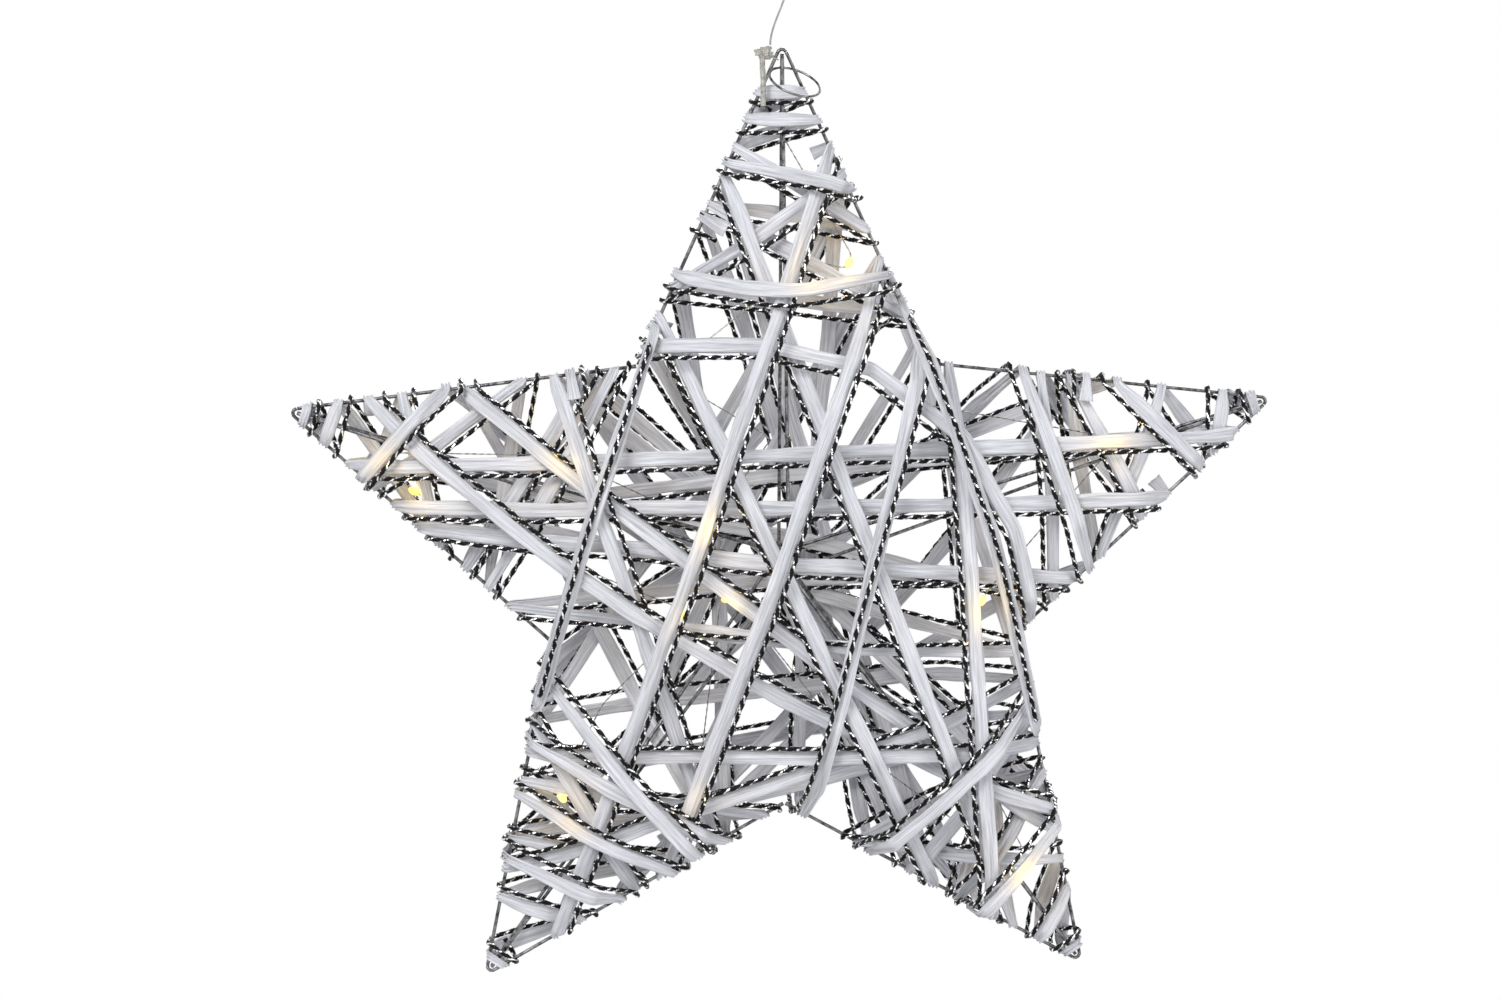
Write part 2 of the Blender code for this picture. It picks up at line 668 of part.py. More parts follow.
def ring(collection):
    """The slack wire ring; its origin is on the line about which it swings on its two wires."""
    bpy.ops.mesh.primitive_torus_add(
        major_radius=RING_RADIUS, minor_radius=RING_WIRE_RADIUS, major_segments=32, minor_segments=6
    )
    made = bpy.context.object
    rearmost = Vector((tip(TOP)[0] + RING_ALONG, RING_BACK, TIP_HEIGHT - RING_BELOW_TIP))
    lie = Matrix.Rotation(RING_YAW, 4, "Z") @ Matrix.Rotation(RING_LEAN, 4, "Y")
    lie = lie @ Matrix.Rotation(RING_DROOP, 4, "X")
    lie = Matrix.Translation(rearmost) @ lie @ Matrix.Translation((0.0, -RING_RADIUS, 0.0))
    left, right = (
        Vector((RING_RADIUS * math.sin(turn), RING_RADIUS * math.cos(turn), 0.0))
        for turn in RING_HINGE_TURNS
    )
    chord = right - left
    hinge = Matrix.Translation((left + right) / 2)
    hinge = hinge @ Matrix.Rotation(math.atan2(chord.y, chord.x), 4, "Z")
    made.data.transform(hinge.inverted())
    made.matrix_world = lie @ hinge
    keep(smooth(made), "ring", "galvanised", collection)
    direction = made.matrix_world.to_3x3() @ Vector((1, 0, 0))
    place = made.matrix_world.translation
    print("ring axis", [round(v, 5) for v in direction], "through", [round(v, 6) for v in place])


def picture_point(pixel_x, pixel_y):
    """The point of the star's plane at a pixel of the picture."""
    scale = 2 * TIP_RADIUS * math.cos(math.radians(18.0)) / PICTURE_WIDTH_PIXELS
    middle_x, middle_y = PICTURE_MIDDLE_PIXELS
    return flat((pixel_x - middle_x) * scale, (middle_y - pixel_y) * scale)


def bead(name, place, direction, collection):
    """One clear drop round the string, turned from its profile about its own bore."""
    bore = STRING_RADIUS + FIT_GAP
    half = BEAD_LENGTH / 2
    profile = [
        (bore, half),
        (BEAD_NECK_RADIUS, half),
        (BEAD_RADIUS, half - BEAD_SHOULDER),
        (BEAD_RADIUS, BEAD_SHOULDER - half),
        (BEAD_NECK_RADIUS, -half),
        (bore, -half),
    ]
    bm = bmesh.new()
    verts = [bm.verts.new((x, 0.0, z)) for x, z in profile]
    for a, b in zip(verts, verts[1:] + verts[:1], strict=True):
        bm.edges.new((a, b))
    mesh = bpy.data.meshes.new(name)
    bm.to_mesh(mesh)
    bm.free()
    obj = bpy.data.objects.new(name, mesh)
    collection.objects.link(obj)
    screw = obj.modifiers.new("turned", "SCREW")
    screw.steps = 10
    screw.render_steps = 10
    screw.use_merge_vertices = True
    screw.merge_threshold = MERGE_DISTANCE
    screw.use_normal_calculate = True
    obj.location = place
    obj.rotation_euler = direction.to_track_quat("Z", "Y").to_euler()
    own_material(obj, "led")


def fairy_lights(start, collection):
    """The light string through its drops, just under the front of the frame."""
    route = []
    for pixel_x, pixel_y, lamp in STRING_ROUTE_PIXELS:
        point = picture_point(pixel_x, pixel_y)
        route.append((world(point, -STRING_DEPTH_SHARE * face_height(point)), lamp))
    points = list(start)
    count = 0
    for i, (place, lamp) in enumerate(route):
        if not lamp:
            points.append(place)
            continue
        before = points[-1]
        after = route[min(i + 1, len(route) - 1)][0]
        direction = ((place - before).normalized() + (after - place).normalized()).normalized()
        half = direction * (BEAD_LENGTH / 2 + STRING_RADIUS)
        points += [place - half, place + half]
        count += 1
        bead(f"lamp_{count:02d}", place, direction, collection)
    wire("light_string", points, STRING_RADIUS, "silver_wire", collection, resolution=0)


def sleeve_route(front):
    """The clear sleeve's way down from the tie and over the top arm's first turns."""
    x = tip(TOP)[0] - SLEEVE_ASIDE
    low = FRAME_WIRE_RADIUS + SLEEVE_RADIUS + FIT_GAP
    bend, end = SLEEVE_BEND_BELOW_TIP, SLEEVE_END_BELOW_TIP
    resting = [
        front.over(flat(x, TIP_RADIUS - bend - (end - bend) * step / SLEEVE_STEPS), SLEEVE_RADIUS)
        for step in range(SLEEVE_STEPS + 1)
    ]
    high = max(resting) + SLEEVE_RADIUS + FIT_GAP
    points = []
    for step in range(SLEEVE_STEPS + 1):
        share = step / SLEEVE_STEPS
        eased = share * share * (3 - 2 * share)
        below = SLEEVE_TOP_BELOW_TIP + (bend - SLEEVE_TOP_BELOW_TIP) * share
        points.append(Vector((x, -(low + (high - low) * eased), TIP_HEIGHT - below)))
    points.append(Vector((x, -high, TIP_HEIGHT - end)))
    return points


def lead_and_tie(front, collection):
    """The thin lead from the box, the tie at the tip with its loop, and the clear sleeve."""
    x = tip(TOP)[0]
    tangent = TIP_BEND_RADIUS / math.tan(HALF_TIP_ANGLE)
    wire_edge = tangent * math.sin(HALF_TIP_ANGLE) + FRAME_WIRE_RADIUS + 2 * FIT_GAP
    tie_middle = Vector((x - wire_edge - TIE_WIDTH / 2, 0.0, TIP_HEIGHT - TIE_BELOW_TIP))
    bpy.ops.mesh.primitive_uv_sphere_add(segments=16, ring_count=8, radius=0.5, location=tie_middle)
    tie = bpy.context.object
    tie.scale = (TIE_WIDTH, TIE_DEPTH, TIE_HEIGHT)
    bpy.ops.object.transform_apply(location=False, rotation=False, scale=True)
    keep(smooth(tie), "tie", "clear", collection)

    down = unit(notch(TOP, 0) - tip(TOP))
    on_wire = tip(TOP) + down * (LOOP_BELOW_TIP / math.cos(HALF_TIP_ANGLE))
    bpy.ops.mesh.primitive_torus_add(
        major_radius=FRAME_WIRE_RADIUS + FIT_GAP + LOOP_RADIUS,
        minor_radius=LOOP_RADIUS,
        major_segments=16,
        minor_segments=6,
        location=world(on_wire),
    )
    loop = bpy.context.object
    loop.rotation_euler = Vector((down[0], 0.0, down[1])).to_track_quat("Z", "Y").to_euler()
    keep(smooth(loop), "tie_loop", "clear", collection)

    end = tie_middle + Vector((TIE_WIDTH / 4, 0.0, TIE_HEIGHT / 2 + FIT_GAP))
    exit_low = Vector((0.0, 0.0, CASE_BOTTOM - LEAD_STRAIGHT))
    points = [Vector((0.0, 0.0, CASE_BOTTOM + LEAD_IN_BOX)), Vector((0.0, 0.0, CASE_BOTTOM))]
    steps = 12
    for step in range(steps + 1):
        share = step / steps
        sideways = share * share * (3 - 2 * share)
        points.append(
            Vector(
                (
                    exit_low.x + (end.x - exit_low.x) * sideways,
                    0.0,
                    exit_low.z + (end.z - exit_low.z) * share,
                )
            )
        )
    wire("lead", points, LEAD_RADIUS, "clear", collection, resolution=2)
    length = sum((b - a).length for a, b in zip(points[1:], points[2:]))
    print(f"lead: {length:.4f} m outside the box, down to {[round(c, 5) for c in points[-1]]}")

    route = sleeve_route(front)
    wire("sleeve", route, SLEEVE_RADIUS, "clear", collection, resolution=2)
    below = route[-1] - Vector((0.0, 0.0, FIT_GAP))
    turn = below - Vector((0.0, 0.0, STRING_DIVE))
    inside = Vector((below.x + SLEEVE_ASIDE / 4, -FRAME_WIRE_RADIUS, turn.z))
    return [below, turn, inside]


def box(name, low, high, look, collection):
    """A block between two corners, with its scale applied."""
    low, high = Vector(low), Vector(high)
    bpy.ops.mesh.primitive_cube_add(size=1.0, location=(low + high) / 2)
    made = bpy.context.object
    made.scale = high - low
    bpy.ops.object.transform_apply(location=False, rotation=False, scale=True)
    return keep(made, name, look, collection)


def combine(target, other, operation):
    """Applies a cutter or an addition to a solid at build time, and removes it."""
    modifier = target.modifiers.new(operation.lower(), "BOOLEAN")
    modifier.solver = "EXACT"
    modifier.operation = operation
    modifier.object = other
    bpy.context.view_layer.update()
    evaluated = target.evaluated_get(bpy.context.evaluated_depsgraph_get())
    mesh = bpy.data.meshes.new_from_object(evaluated)
    target.modifiers.clear()
    old = target.data
    target.data = mesh
    bpy.data.meshes.remove(old)
    mesh.name = target.name
    bpy.data.objects.remove(other, do_unlink=True)


def cylinder(radius, depth, location, turn=(0.0, 0.0, 0.0), vertices=32):
    """A plain cylinder, left where the operator puts it."""
    bpy.ops.mesh.primitive_cylinder_add(
        radius=radius, depth=depth, location=location, rotation=turn, vertices=vertices
    )
    return bpy.context.object


def battery_case(collection):
    """The case: walls, cell and switch rooms, cover grooves, lead hole and hanging eye."""
    half = CASE_WIDTH / 2
    low, high = (-half, CASE_FRONT, CASE_BOTTOM), (half, -CASE_FRONT, CASE_TOP)
    case = box("battery_case", low, high, "case", collection)
    rounding = case.modifiers.new("rounding", "BEVEL")
    rounding.width = CASE_ROUNDING
    rounding.segments = 2
    rounding.limit_method = "ANGLE"
    inner = CAVITY_WIDTH / 2
    back = -CASE_FRONT + OVERRUN
    room_bottom = CASE_BOTTOM + 2 * CASE_WALL + SWITCH_BAY
    rooms = (
        ((-inner, CASE_FRONT + CASE_WALL, room_bottom), (inner, back, room_bottom + CAVITY_LENGTH)),
        (
            (-inner, CASE_FRONT + CASE_WALL, CASE_BOTTOM + CASE_WALL),
            (inner, back, CASE_BOTTOM + CASE_WALL + SWITCH_BAY),
        ),
        (
            (-inner, GROOVE_FRONT, CASE_BOTTOM - OVERRUN),
            (inner, back, room_bottom + CAVITY_LENGTH),
        ),
        (
            (-inner - COVER_LIP, GROOVE_FRONT, CASE_BOTTOM - OVERRUN),
            (inner + COVER_LIP, GROOVE_FRONT + GROOVE_DEPTH, room_bottom + CAVITY_LENGTH),
        ),
    )
    for number, (low, high) in enumerate(rooms):
        combine(case, box(f"cut_{number}", low, high, "case", collection), "DIFFERENCE")
    bay = CASE_BOTTOM + CASE_WALL + SWITCH_BAY / 2
    slot = box(
        "cut_slot",
        (-KNOB_WIDTH / 2 - KNOB_TRAVEL - FIT_GAP, CASE_FRONT - OVERRUN, bay - KNOB_HEIGHT / 2 - FIT_GAP),
        (KNOB_WIDTH / 2 + FIT_GAP, CASE_FRONT + CASE_WALL + OVERRUN, bay + KNOB_HEIGHT / 2 + FIT_GAP),
        "case",
        collection,
    )
    combine(case, slot, "DIFFERENCE")
    hole = cylinder(
        LEAD_RADIUS + LEAD_HOLE_CLEARANCE,
        CASE_WALL + 2 * OVERRUN,
        (0.0, 0.0, CASE_BOTTOM + CASE_WALL / 2),
        vertices=16,
    )
    combine(case, hole, "DIFFERENCE")
    turn = (math.pi / 2, 0.0, 0.0)
    eye = cylinder(EYE_HOLE_RADIUS + EYE_WALL, EYE_THICKNESS, (0.0, 0.0, 0.0), turn)
    combine(case, eye, "UNION")
    hole = cylinder(EYE_HOLE_RADIUS, EYE_THICKNESS + 2 * OVERRUN, (0.0, 0.0, 0.0), turn)
    combine(case, hole, "DIFFERENCE")
    own_material(case, "case")


def battery_cover(collection):
    """The sliding cover, flush with the case's bottom, with three grip ribs on its back."""
    half = CAVITY_WIDTH / 2 + COVER_LIP - FIT_GAP
    front = GROOVE_FRONT + FIT_GAP
    top = CASE_BOTTOM + 2 * CASE_WALL + SWITCH_BAY + CAVITY_LENGTH - FIT_GAP
    cover = box(
        "battery_cover", (-half, front, CASE_BOTTOM), (half, front + COVER_THICKNESS, top), "case", collection
    )
    middle = (CASE_BOTTOM + top) / 2
    for number in range(COVER_RIBS):
        z = middle + (number - (COVER_RIBS - 1) / 2) * COVER_RIB_PITCH
        back = front + COVER_THICKNESS
        rib = box(
            f"add_rib_{number}",
            (-COVER_RIB_LENGTH / 2, back - COVER_THICKNESS / 2, z - COVER_RIB / 2),
            (COVER_RIB_LENGTH / 2, back + COVER_RIB, z + COVER_RIB / 2),
            "case",
            collection,
        )
        combine(cover, rib, "UNION")
    own_material(cover, "case")


def switch_knob(collection):
    """The slide switch's knob with the foot that holds it inside the wall; it rests at on."""
    bay = CASE_BOTTOM + CASE_WALL + SWITCH_BAY / 2
    inside = CASE_FRONT + CASE_WALL
    knob = box(
        "switch_knob",
        (-KNOB_WIDTH / 2, CASE_FRONT - KNOB_STAND, bay - KNOB_HEIGHT / 2),
        (KNOB_WIDTH / 2, inside + FIT_GAP + KNOB_FOOT / 2, bay + KNOB_HEIGHT / 2),
        "case",
        collection,
    )
    foot = box(
        "add_foot",
        (-KNOB_WIDTH, inside + FIT_GAP, bay - KNOB_HEIGHT / 2 - KNOB_FOOT),
        (KNOB_WIDTH, inside + FIT_GAP + KNOB_FOOT, bay + KNOB_HEIGHT / 2 + KNOB_FOOT),
        "case",
        collection,
    )
    combine(knob, foot, "UNION")
    own_material(knob, "case")


def cells_and_contacts(collection):
    """Two cells, the bridge plate under them and the two terminal plates above."""
    room_bottom = CASE_BOTTOM + 2 * CASE_WALL + SWITCH_BAY
    y = CASE_FRONT + CASE_WALL + CELL_GAP + CELL_RADIUS
    bottom = room_bottom + 2 * FIT_GAP + CONTACT_THICKNESS
    for side, name in ((-1, "cell_left"), (1, "cell_right")):
        x = side * (CELL_RADIUS + CELL_GAP / 2)
        body_bottom = bottom + (CELL_BUTTON_HEIGHT if side > 0 else 0.0)
        cell = cylinder(CELL_RADIUS, CELL_LENGTH, (x, y, body_bottom + CELL_LENGTH / 2))
        keep(cell, name, "cell", collection)
        button_bottom = bottom if side > 0 else bottom + CELL_LENGTH - OVERRUN
        button_height = CELL_BUTTON_HEIGHT + OVERRUN
        button = cylinder(
            CELL_BUTTON_RADIUS, button_height, (x, y, button_bottom + button_height / 2), vertices=20
        )
        combine(cell, button, "UNION")
        own_material(smooth(cell), "cell")
        plate_bottom = bottom + CELL_SPAN + FIT_GAP
        box(
            f"terminal_{name[5:]}",
            (x - CONTACT_WIDTH / 2, y - CONTACT_WIDTH / 2, plate_bottom),
            (x + CONTACT_WIDTH / 2, y + CONTACT_WIDTH / 2, plate_bottom + CONTACT_THICKNESS),
            "contact",
            collection,
        )
    reach = CELL_RADIUS + CELL_GAP / 2 + CONTACT_WIDTH / 2
    box(
        "bridge_plate",
        (-reach, y - CONTACT_WIDTH / 2, room_bottom + FIT_GAP),
        (reach, y + CONTACT_WIDTH / 2, room_bottom + FIT_GAP + CONTACT_THICKNESS),
        "contact",
        collection,
    )


def main():
    """Builds the part."""
    for obj in list(bpy.data.objects):
        bpy.data.objects.remove(obj, do_unlink=True)
    parts = bpy.data.collections.new("led_christmas_star")
    bpy.context.scene.collection.children.link(parts)
    frame_wires(parts)
    front, _ = wind(parts)
    ring(parts)
    fairy_lights(lead_and_tie(front, parts), parts)
    battery_case(parts)
    battery_cover(parts)
    switch_knob(parts)
    cells_and_contacts(parts)


main()
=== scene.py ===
"""Dresses the hanging light star: wire frame, paper ribbons, silver cords, fairy lights and box.

Everything is in metres, in the frame of the solids: the origin is the hanging eye of the battery
box, +Z is up and the star's front looks along -Y. The windings repeat the rule that laid them: each
run is stretched from slot to slot over the frame and over what was wound before.
"""

import logging
import math
from dataclasses import dataclass, field, replace
from enum import Enum
from typing import Callable, Sequence

import bmesh
import bpy
import numpy as np
from mathutils import Matrix, Quaternion, Vector, noise


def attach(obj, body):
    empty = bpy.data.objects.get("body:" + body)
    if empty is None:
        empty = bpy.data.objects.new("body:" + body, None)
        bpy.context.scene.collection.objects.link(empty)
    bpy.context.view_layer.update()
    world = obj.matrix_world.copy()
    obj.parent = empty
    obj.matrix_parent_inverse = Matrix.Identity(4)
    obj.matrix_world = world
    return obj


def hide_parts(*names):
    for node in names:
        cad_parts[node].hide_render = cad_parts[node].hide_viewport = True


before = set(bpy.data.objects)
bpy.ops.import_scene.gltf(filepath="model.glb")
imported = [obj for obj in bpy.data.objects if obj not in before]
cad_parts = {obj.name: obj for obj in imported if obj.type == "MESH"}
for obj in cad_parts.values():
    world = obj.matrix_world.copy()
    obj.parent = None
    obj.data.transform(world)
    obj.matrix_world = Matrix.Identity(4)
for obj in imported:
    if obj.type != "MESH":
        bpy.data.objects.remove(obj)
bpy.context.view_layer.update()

LOG = logging.getLogger("light_star")


class Arm(Enum):
    """The five arms, clockwise from the top, each with its name in the solids."""

    TOP = 0
    RIGHT = 1
    RIGHT_LEG = 2
    LEFT_LEG = 3
    LEFT = 4

    @property
    def label(self) -> str:
        """The arm's name in the solids' names."""
        return self.name.lower()


class Face(Enum):
    """The two faces of the star; the value is the sign of y."""

    FRONT = -1
    BACK = 1


TOP, RIGHT, RIGHT_LEG, LEFT_LEG, LEFT = (arm.value for arm in Arm)
Slot = tuple[int, int, float]
Row = tuple[Vector, np.ndarray, float]
Place = tuple[np.ndarray, np.ndarray, np.ndarray]
Triple = tuple[float, float, float]
Profile = Callable[[np.ndarray, np.ndarray], np.ndarray]

# Slots of each winding: arm, side (0 anticlockwise of the tip, 1 clockwise), number from the tip.
WINDING_SLOTS: dict[str, list[Slot]] = {
    "top": [
        (TOP, 0, 2), (TOP, 1, 2), (TOP, 0, 3), (TOP, 1, 3), (TOP, 0, 4), (TOP, 1, 7),
        (TOP, 0, 6), (TOP, 1, 10), (TOP, 0, 9), (TOP, 1, 5),
        (RIGHT_LEG, 1, 11), (TOP, 1, 11), (LEFT_LEG, 0, 7), (TOP, 1, 8),
        (LEFT_LEG, 0, 3), (TOP, 1, 4),
    ],
    "right": [
        (RIGHT, 0, 1), (RIGHT, 1, 1), (RIGHT, 0, 2), (RIGHT, 1, 3), (RIGHT, 0, 4), (RIGHT, 1, 8),
        (RIGHT, 0, 7), (RIGHT, 1, 6), (RIGHT, 0, 8), (RIGHT, 1, 10),
        (LEFT, 0, 3), (RIGHT, 1, 2), (LEFT, 0, 6), (RIGHT, 1, 9),
        (LEFT, 0, 10), (RIGHT_LEG, 0, 11), (LEFT, 0, 5), (RIGHT, 1, 5),
    ],
    "right_leg": [
        (RIGHT_LEG, 0, 1), (RIGHT_LEG, 1, 1), (RIGHT_LEG, 0, 3), (RIGHT_LEG, 1, 2),
        (RIGHT_LEG, 0, 4), (RIGHT_LEG, 1, 9), (RIGHT_LEG, 0, 7), (RIGHT_LEG, 1, 5),
        (RIGHT_LEG, 0, 9), (RIGHT_LEG, 1, 7),
        (TOP, 0, 10), (RIGHT_LEG, 1, 6), (TOP, 0, 5), (RIGHT_LEG, 1, 3),
        (RIGHT, 0, 11), (RIGHT_LEG, 1, 4), (TOP, 0, 11), (RIGHT, 1, 11),
    ],
    "left_leg": [
        (LEFT_LEG, 0, 1), (LEFT_LEG, 1, 1), (LEFT_LEG, 0, 4), (LEFT_LEG, 1, 3),
        (LEFT_LEG, 0, 8), (LEFT_LEG, 1, 5), (LEFT_LEG, 0, 11), (LEFT_LEG, 1, 7),
        (LEFT_LEG, 0, 6), (LEFT_LEG, 1, 9),
        (RIGHT_LEG, 0, 10), (LEFT_LEG, 1, 4), (RIGHT_LEG, 0, 8), (LEFT_LEG, 1, 8),
    ],
    "left": [
        (LEFT, 0, 1), (LEFT, 1, 1), (LEFT, 0, 2), (LEFT, 1, 2), (LEFT, 0, 7), (LEFT, 1, 4),
        (LEFT, 0, 4), (LEFT, 1, 8), (LEFT, 0, 9), (LEFT, 1, 11), (LEFT, 0, 8), (LEFT, 1, 10),
        (RIGHT_LEG, 0, 5), (LEFT, 1, 6), (LEFT_LEG, 0, 9), (LEFT, 1, 9),
        (RIGHT_LEG, 0, 6), (LEFT, 1, 3),
    ],
}
# How many of a winding's first runs go round its own arm. These are laid before all the others.
RUNS_ON_ARM = {"right": 9, "left": 11, "left_leg": 9, "right_leg": 9, "top": 9}

# A second layer of turns, laid over the first between its slots: short runs on the front's arms,
# long ones on the back.
OVER_SLOTS: dict[str, list[Slot]] = {
    "top_over": [
        (TOP, 0, 4.5), (TOP, 1, 5.5), (LEFT_LEG, 1, 8.5), (LEFT_LEG, 0, 9.5), (TOP, 0, 8.5),
        (TOP, 1, 8.5), (RIGHT_LEG, 0, 9.5), (RIGHT_LEG, 1, 8.5), (TOP, 0, 6.5),
    ],
    "right_over": [
        (RIGHT, 1, 3.5), (RIGHT, 0, 5.5), (LEFT_LEG, 1, 10.5), (LEFT_LEG, 0, 8.5), (RIGHT, 1, 8.5),
        (RIGHT, 0, 8.6), (LEFT_LEG, 1, 4.5), (LEFT_LEG, 0, 5.5), (RIGHT, 0, 6.5),
    ],
    "left_over": [
        (LEFT, 0, 3.5), (LEFT, 1, 5.5), (RIGHT_LEG, 0, 5.5), (RIGHT_LEG, 1, 4.5), (LEFT, 1, 9.5),
    ],
    "left_leg_over": [
        (TOP, 0, 10.4), (LEFT_LEG, 1, 9.5), (TOP, 1, 9.5), (RIGHT_LEG, 0, 8.5),
        (LEFT_LEG, 1, 6.5), (LEFT_LEG, 0, 7.5),
    ],
}

# How far a run bows sideways, as a share of its length, by winding and number of the run.
BOWS = {
    ("right_leg", 16): 0.50, ("left", 16): 0.11,
    ("top_over", 0): 0.10, ("top_over", 1): 0.06, ("top_over", 3): -0.06, ("top_over", 4): -0.10,
    ("top_over", 5): 0.05, ("top_over", 7): -0.07, ("right_over", 1): -0.05,
    ("right_over", 3): 0.06, ("right_over", 5): 0.06, ("right_over", 7): -0.08,
    ("left_over", 0): 0.10, ("left_over", 1): -0.05, ("left_over", 3): 0.06,
    ("left_leg_over", 0): -0.04, ("left_leg_over", 2): 0.05,
}

# The light string's way on the picture, in pixels, and how brightly a lamp glows there (0: none).
STRING_ROUTE = [
    (842, 262, 0.5), (803, 262, 1.0), (660, 372, 0.0), (765, 433, 0.0), (703, 515, 1.0),
    (555, 452, 1.0), (385, 455, 0.6), (415, 487, 0.5), (570, 560, 0.0), (680, 610, 0.4),
    (600, 700, 0.0), (560, 795, 1.0), (690, 787, 0.4), (722, 592, 0.5), (850, 745, 0.0),
    (1022, 865, 1.0), (965, 740, 0.0), (978, 598, 1.0), (1101, 440, 1.0), (905, 400, 0.0),
]


def flat(*values: float) -> np.ndarray:
    """A point of the star's plane, or a direction in it."""
    return np.array(values, float)


def unit(vector: np.ndarray) -> np.ndarray:
    """The vector at length one."""
    return vector / np.linalg.norm(vector)


def eased(share: float) -> float:
    """A share of a way that starts and ends gently."""
    return share * share * (3 - 2 * share)


@dataclass(frozen=True)
class StarPlan:
    """Sizes of the wire star, and the places on it that everything else follows."""

    tip_radius: float = 0.2100
    notch_radius: float = 0.1000
    hub_depth: float = 0.0260
    wire_radius: float = 0.00075
    bend_radius: float = 0.0018
    nugget_radius: float = 0.0022
    turn: float = math.radians(0.6)
    arm_step: float = math.radians(72.0)
    gap: float = 0.0003
    middle_height: float = -0.3085
    slots_per_edge: int = 11
    first_slot_share: float = 0.035
    picture_width: float = 974.0
    picture_middle: tuple[float, float] = (780.0, 560.0)

    def at_angle(self, radius: float, angle: float) -> np.ndarray:
        """The point of the plane at a radius and an angle from +X."""
        return flat(radius * math.cos(angle), radius * math.sin(angle))

    def tip(self, arm: int) -> np.ndarray:
        """The point where an arm's two edges would meet."""
        return self.at_angle(self.tip_radius, math.pi / 2 + self.turn - arm * self.arm_step)

    def notch(self, arm: int, side: int) -> np.ndarray:
        """The notch at the inner end of an arm's edge."""
        angle = math.pi / 2 + self.turn - arm * self.arm_step
        return self.at_angle(
            self.notch_radius, angle + (self.arm_step / 2 if side == 0 else -self.arm_step / 2)
        )

    @property
    def edge_length(self) -> float:
        """Length of an arm's edge, tip to notch."""
        return float(np.linalg.norm(self.tip(0) - self.notch(0, 0)))

    @property
    def half_tip_angle(self) -> float:
        """Half the angle between an arm's two edges."""
        return math.acos(
            float(np.dot(unit(-self.tip(0)), unit(self.notch(0, 0) - self.tip(0))))
        )

    @property
    def bend_reach(self) -> float:
        """How far from an arm's point the bend of its tip begins."""
        return self.bend_radius / math.tan(self.half_tip_angle)

    @property
    def notch_cut(self) -> float:
        """How far from a notch its two outline wires end, so that they don't touch.

        Returns:
            The distance along either wire.
        """
        notch = self.notch(0, 1)
        opening = math.acos(float(np.dot(unit(self.tip(0) - notch), unit(self.tip(1) - notch))))
        return self.wire_radius / math.tan(opening / 2) + self.gap / 2 / math.sin(opening / 2)

    @property
    def tip_height(self) -> float:
        """Height of the top arm's virtual tip."""
        return self.middle_height + self.tip_radius

    def world(self, point: np.ndarray, y: float = 0.0) -> Vector:
        """A point of the plane at a depth y, in the world frame."""
        return Vector((point[0], y, point[1] + self.middle_height))

    def face_height(self, point: np.ndarray) -> float:
        """How far the frame's faces stand out over a point of the plane.

        Args:
            point: the point.

        Returns:
            The height over the plane, zero outside the star.
        """
        best = 0.0
        for arm in range(len(Arm)):
            for side in (0, 1):
                basis = np.column_stack([self.tip(arm), self.notch(arm, side)])
                along_tip, along_notch = np.linalg.solve(basis, point)
                if min(along_tip, along_notch) >= 0 and along_tip + along_notch <= 1:
                    best = self.hub_depth * (1 - along_tip - along_notch)
        return best

    def ridge_ends(self) -> tuple[tuple[float, float], tuple[float, float]]:
        """The two ends of a ridge wire.

        Returns:
            Distance from the star's middle and depth of the inner end, then of the outer one.
        """
        inner = self.nugget_radius + self.gap
        outer = self.tip_radius - self.bend_radius / math.sin(self.half_tip_angle)
        return (inner, self.hub_depth), (outer, self.wire_radius + self.gap / 2)

    def slot_place(self, slot: Slot) -> Place:
        """A slot's place on the outline.

        Args:
            slot: arm, side and number from the tip.

        Returns:
            The place, the outward direction and the direction along the edge.
        """
        arm, side, number = slot
        apex = self.tip(arm)
        along = unit(self.notch(arm, side) - apex)
        outward = flat(along[1], -along[0]) * (1 if side == 0 else -1)
        share = self.first_slot_share
        share += (1 - self.first_slot_share) * (number - 0.5) / self.slots_per_edge
        return apex + along * (share * self.edge_length), outward, along

    def picture_point(self, x: float, y: float) -> np.ndarray:
        """The point of the plane at a pixel of the picture."""
        scale = 2 * self.tip_radius * math.cos(self.arm_step / 4) / self.picture_width
        return flat((x - self.picture_middle[0]) * scale, (self.picture_middle[1] - y) * scale)


@dataclass(frozen=True)
class WindingRule:
    """Sizes that lay the ribbons and cords over the frame."""

    ribbon_width: float = 0.0060
    ribbon_thickness: float = 0.0007
    cord_radius: float = 0.00090
    gap: float = 0.00060  # from a strand to what it lies on
    side_gap: float = 0.0009  # what is this near beside a strand counts as under it
    cell: float = 0.0010  # of the height maps' grid
    fewest_cells: int = 4  # in a run
    tail: float = 0.0080  # a strand's free end
    pair_offset: float = 0.0043  # from a ribbon to its cord, square to them
    widest_pair: float = 0.0064  # from a ribbon to its cord, along the outline
    slack: float = 0.00050  # a support that lifts a run by less is left out
    bow_step: float = 0.0450  # between the points of a bowed run
    edge_width_share: float = 0.62  # width of a ribbon folded round the outline
    hug: float = 0.0002  # from the outline wire to a turn of the first layer
    layer: float = 0.0013  # how much further out the second layer turns
    turn_steps: tuple[float, ...] = (math.pi / 4, 0.0, -math.pi / 4)
    over_gap: float = 0.00025  # the gap of the second layer
    over_thickness: float = 0.0004  # the thickness of its ribbons

    def wrap_radius(self, plan: StarPlan, thickness: float) -> float:
        """How far the middle of a turn stands off the middle of the outline wire."""
        return plan.wire_radius + self.hug + thickness / 2


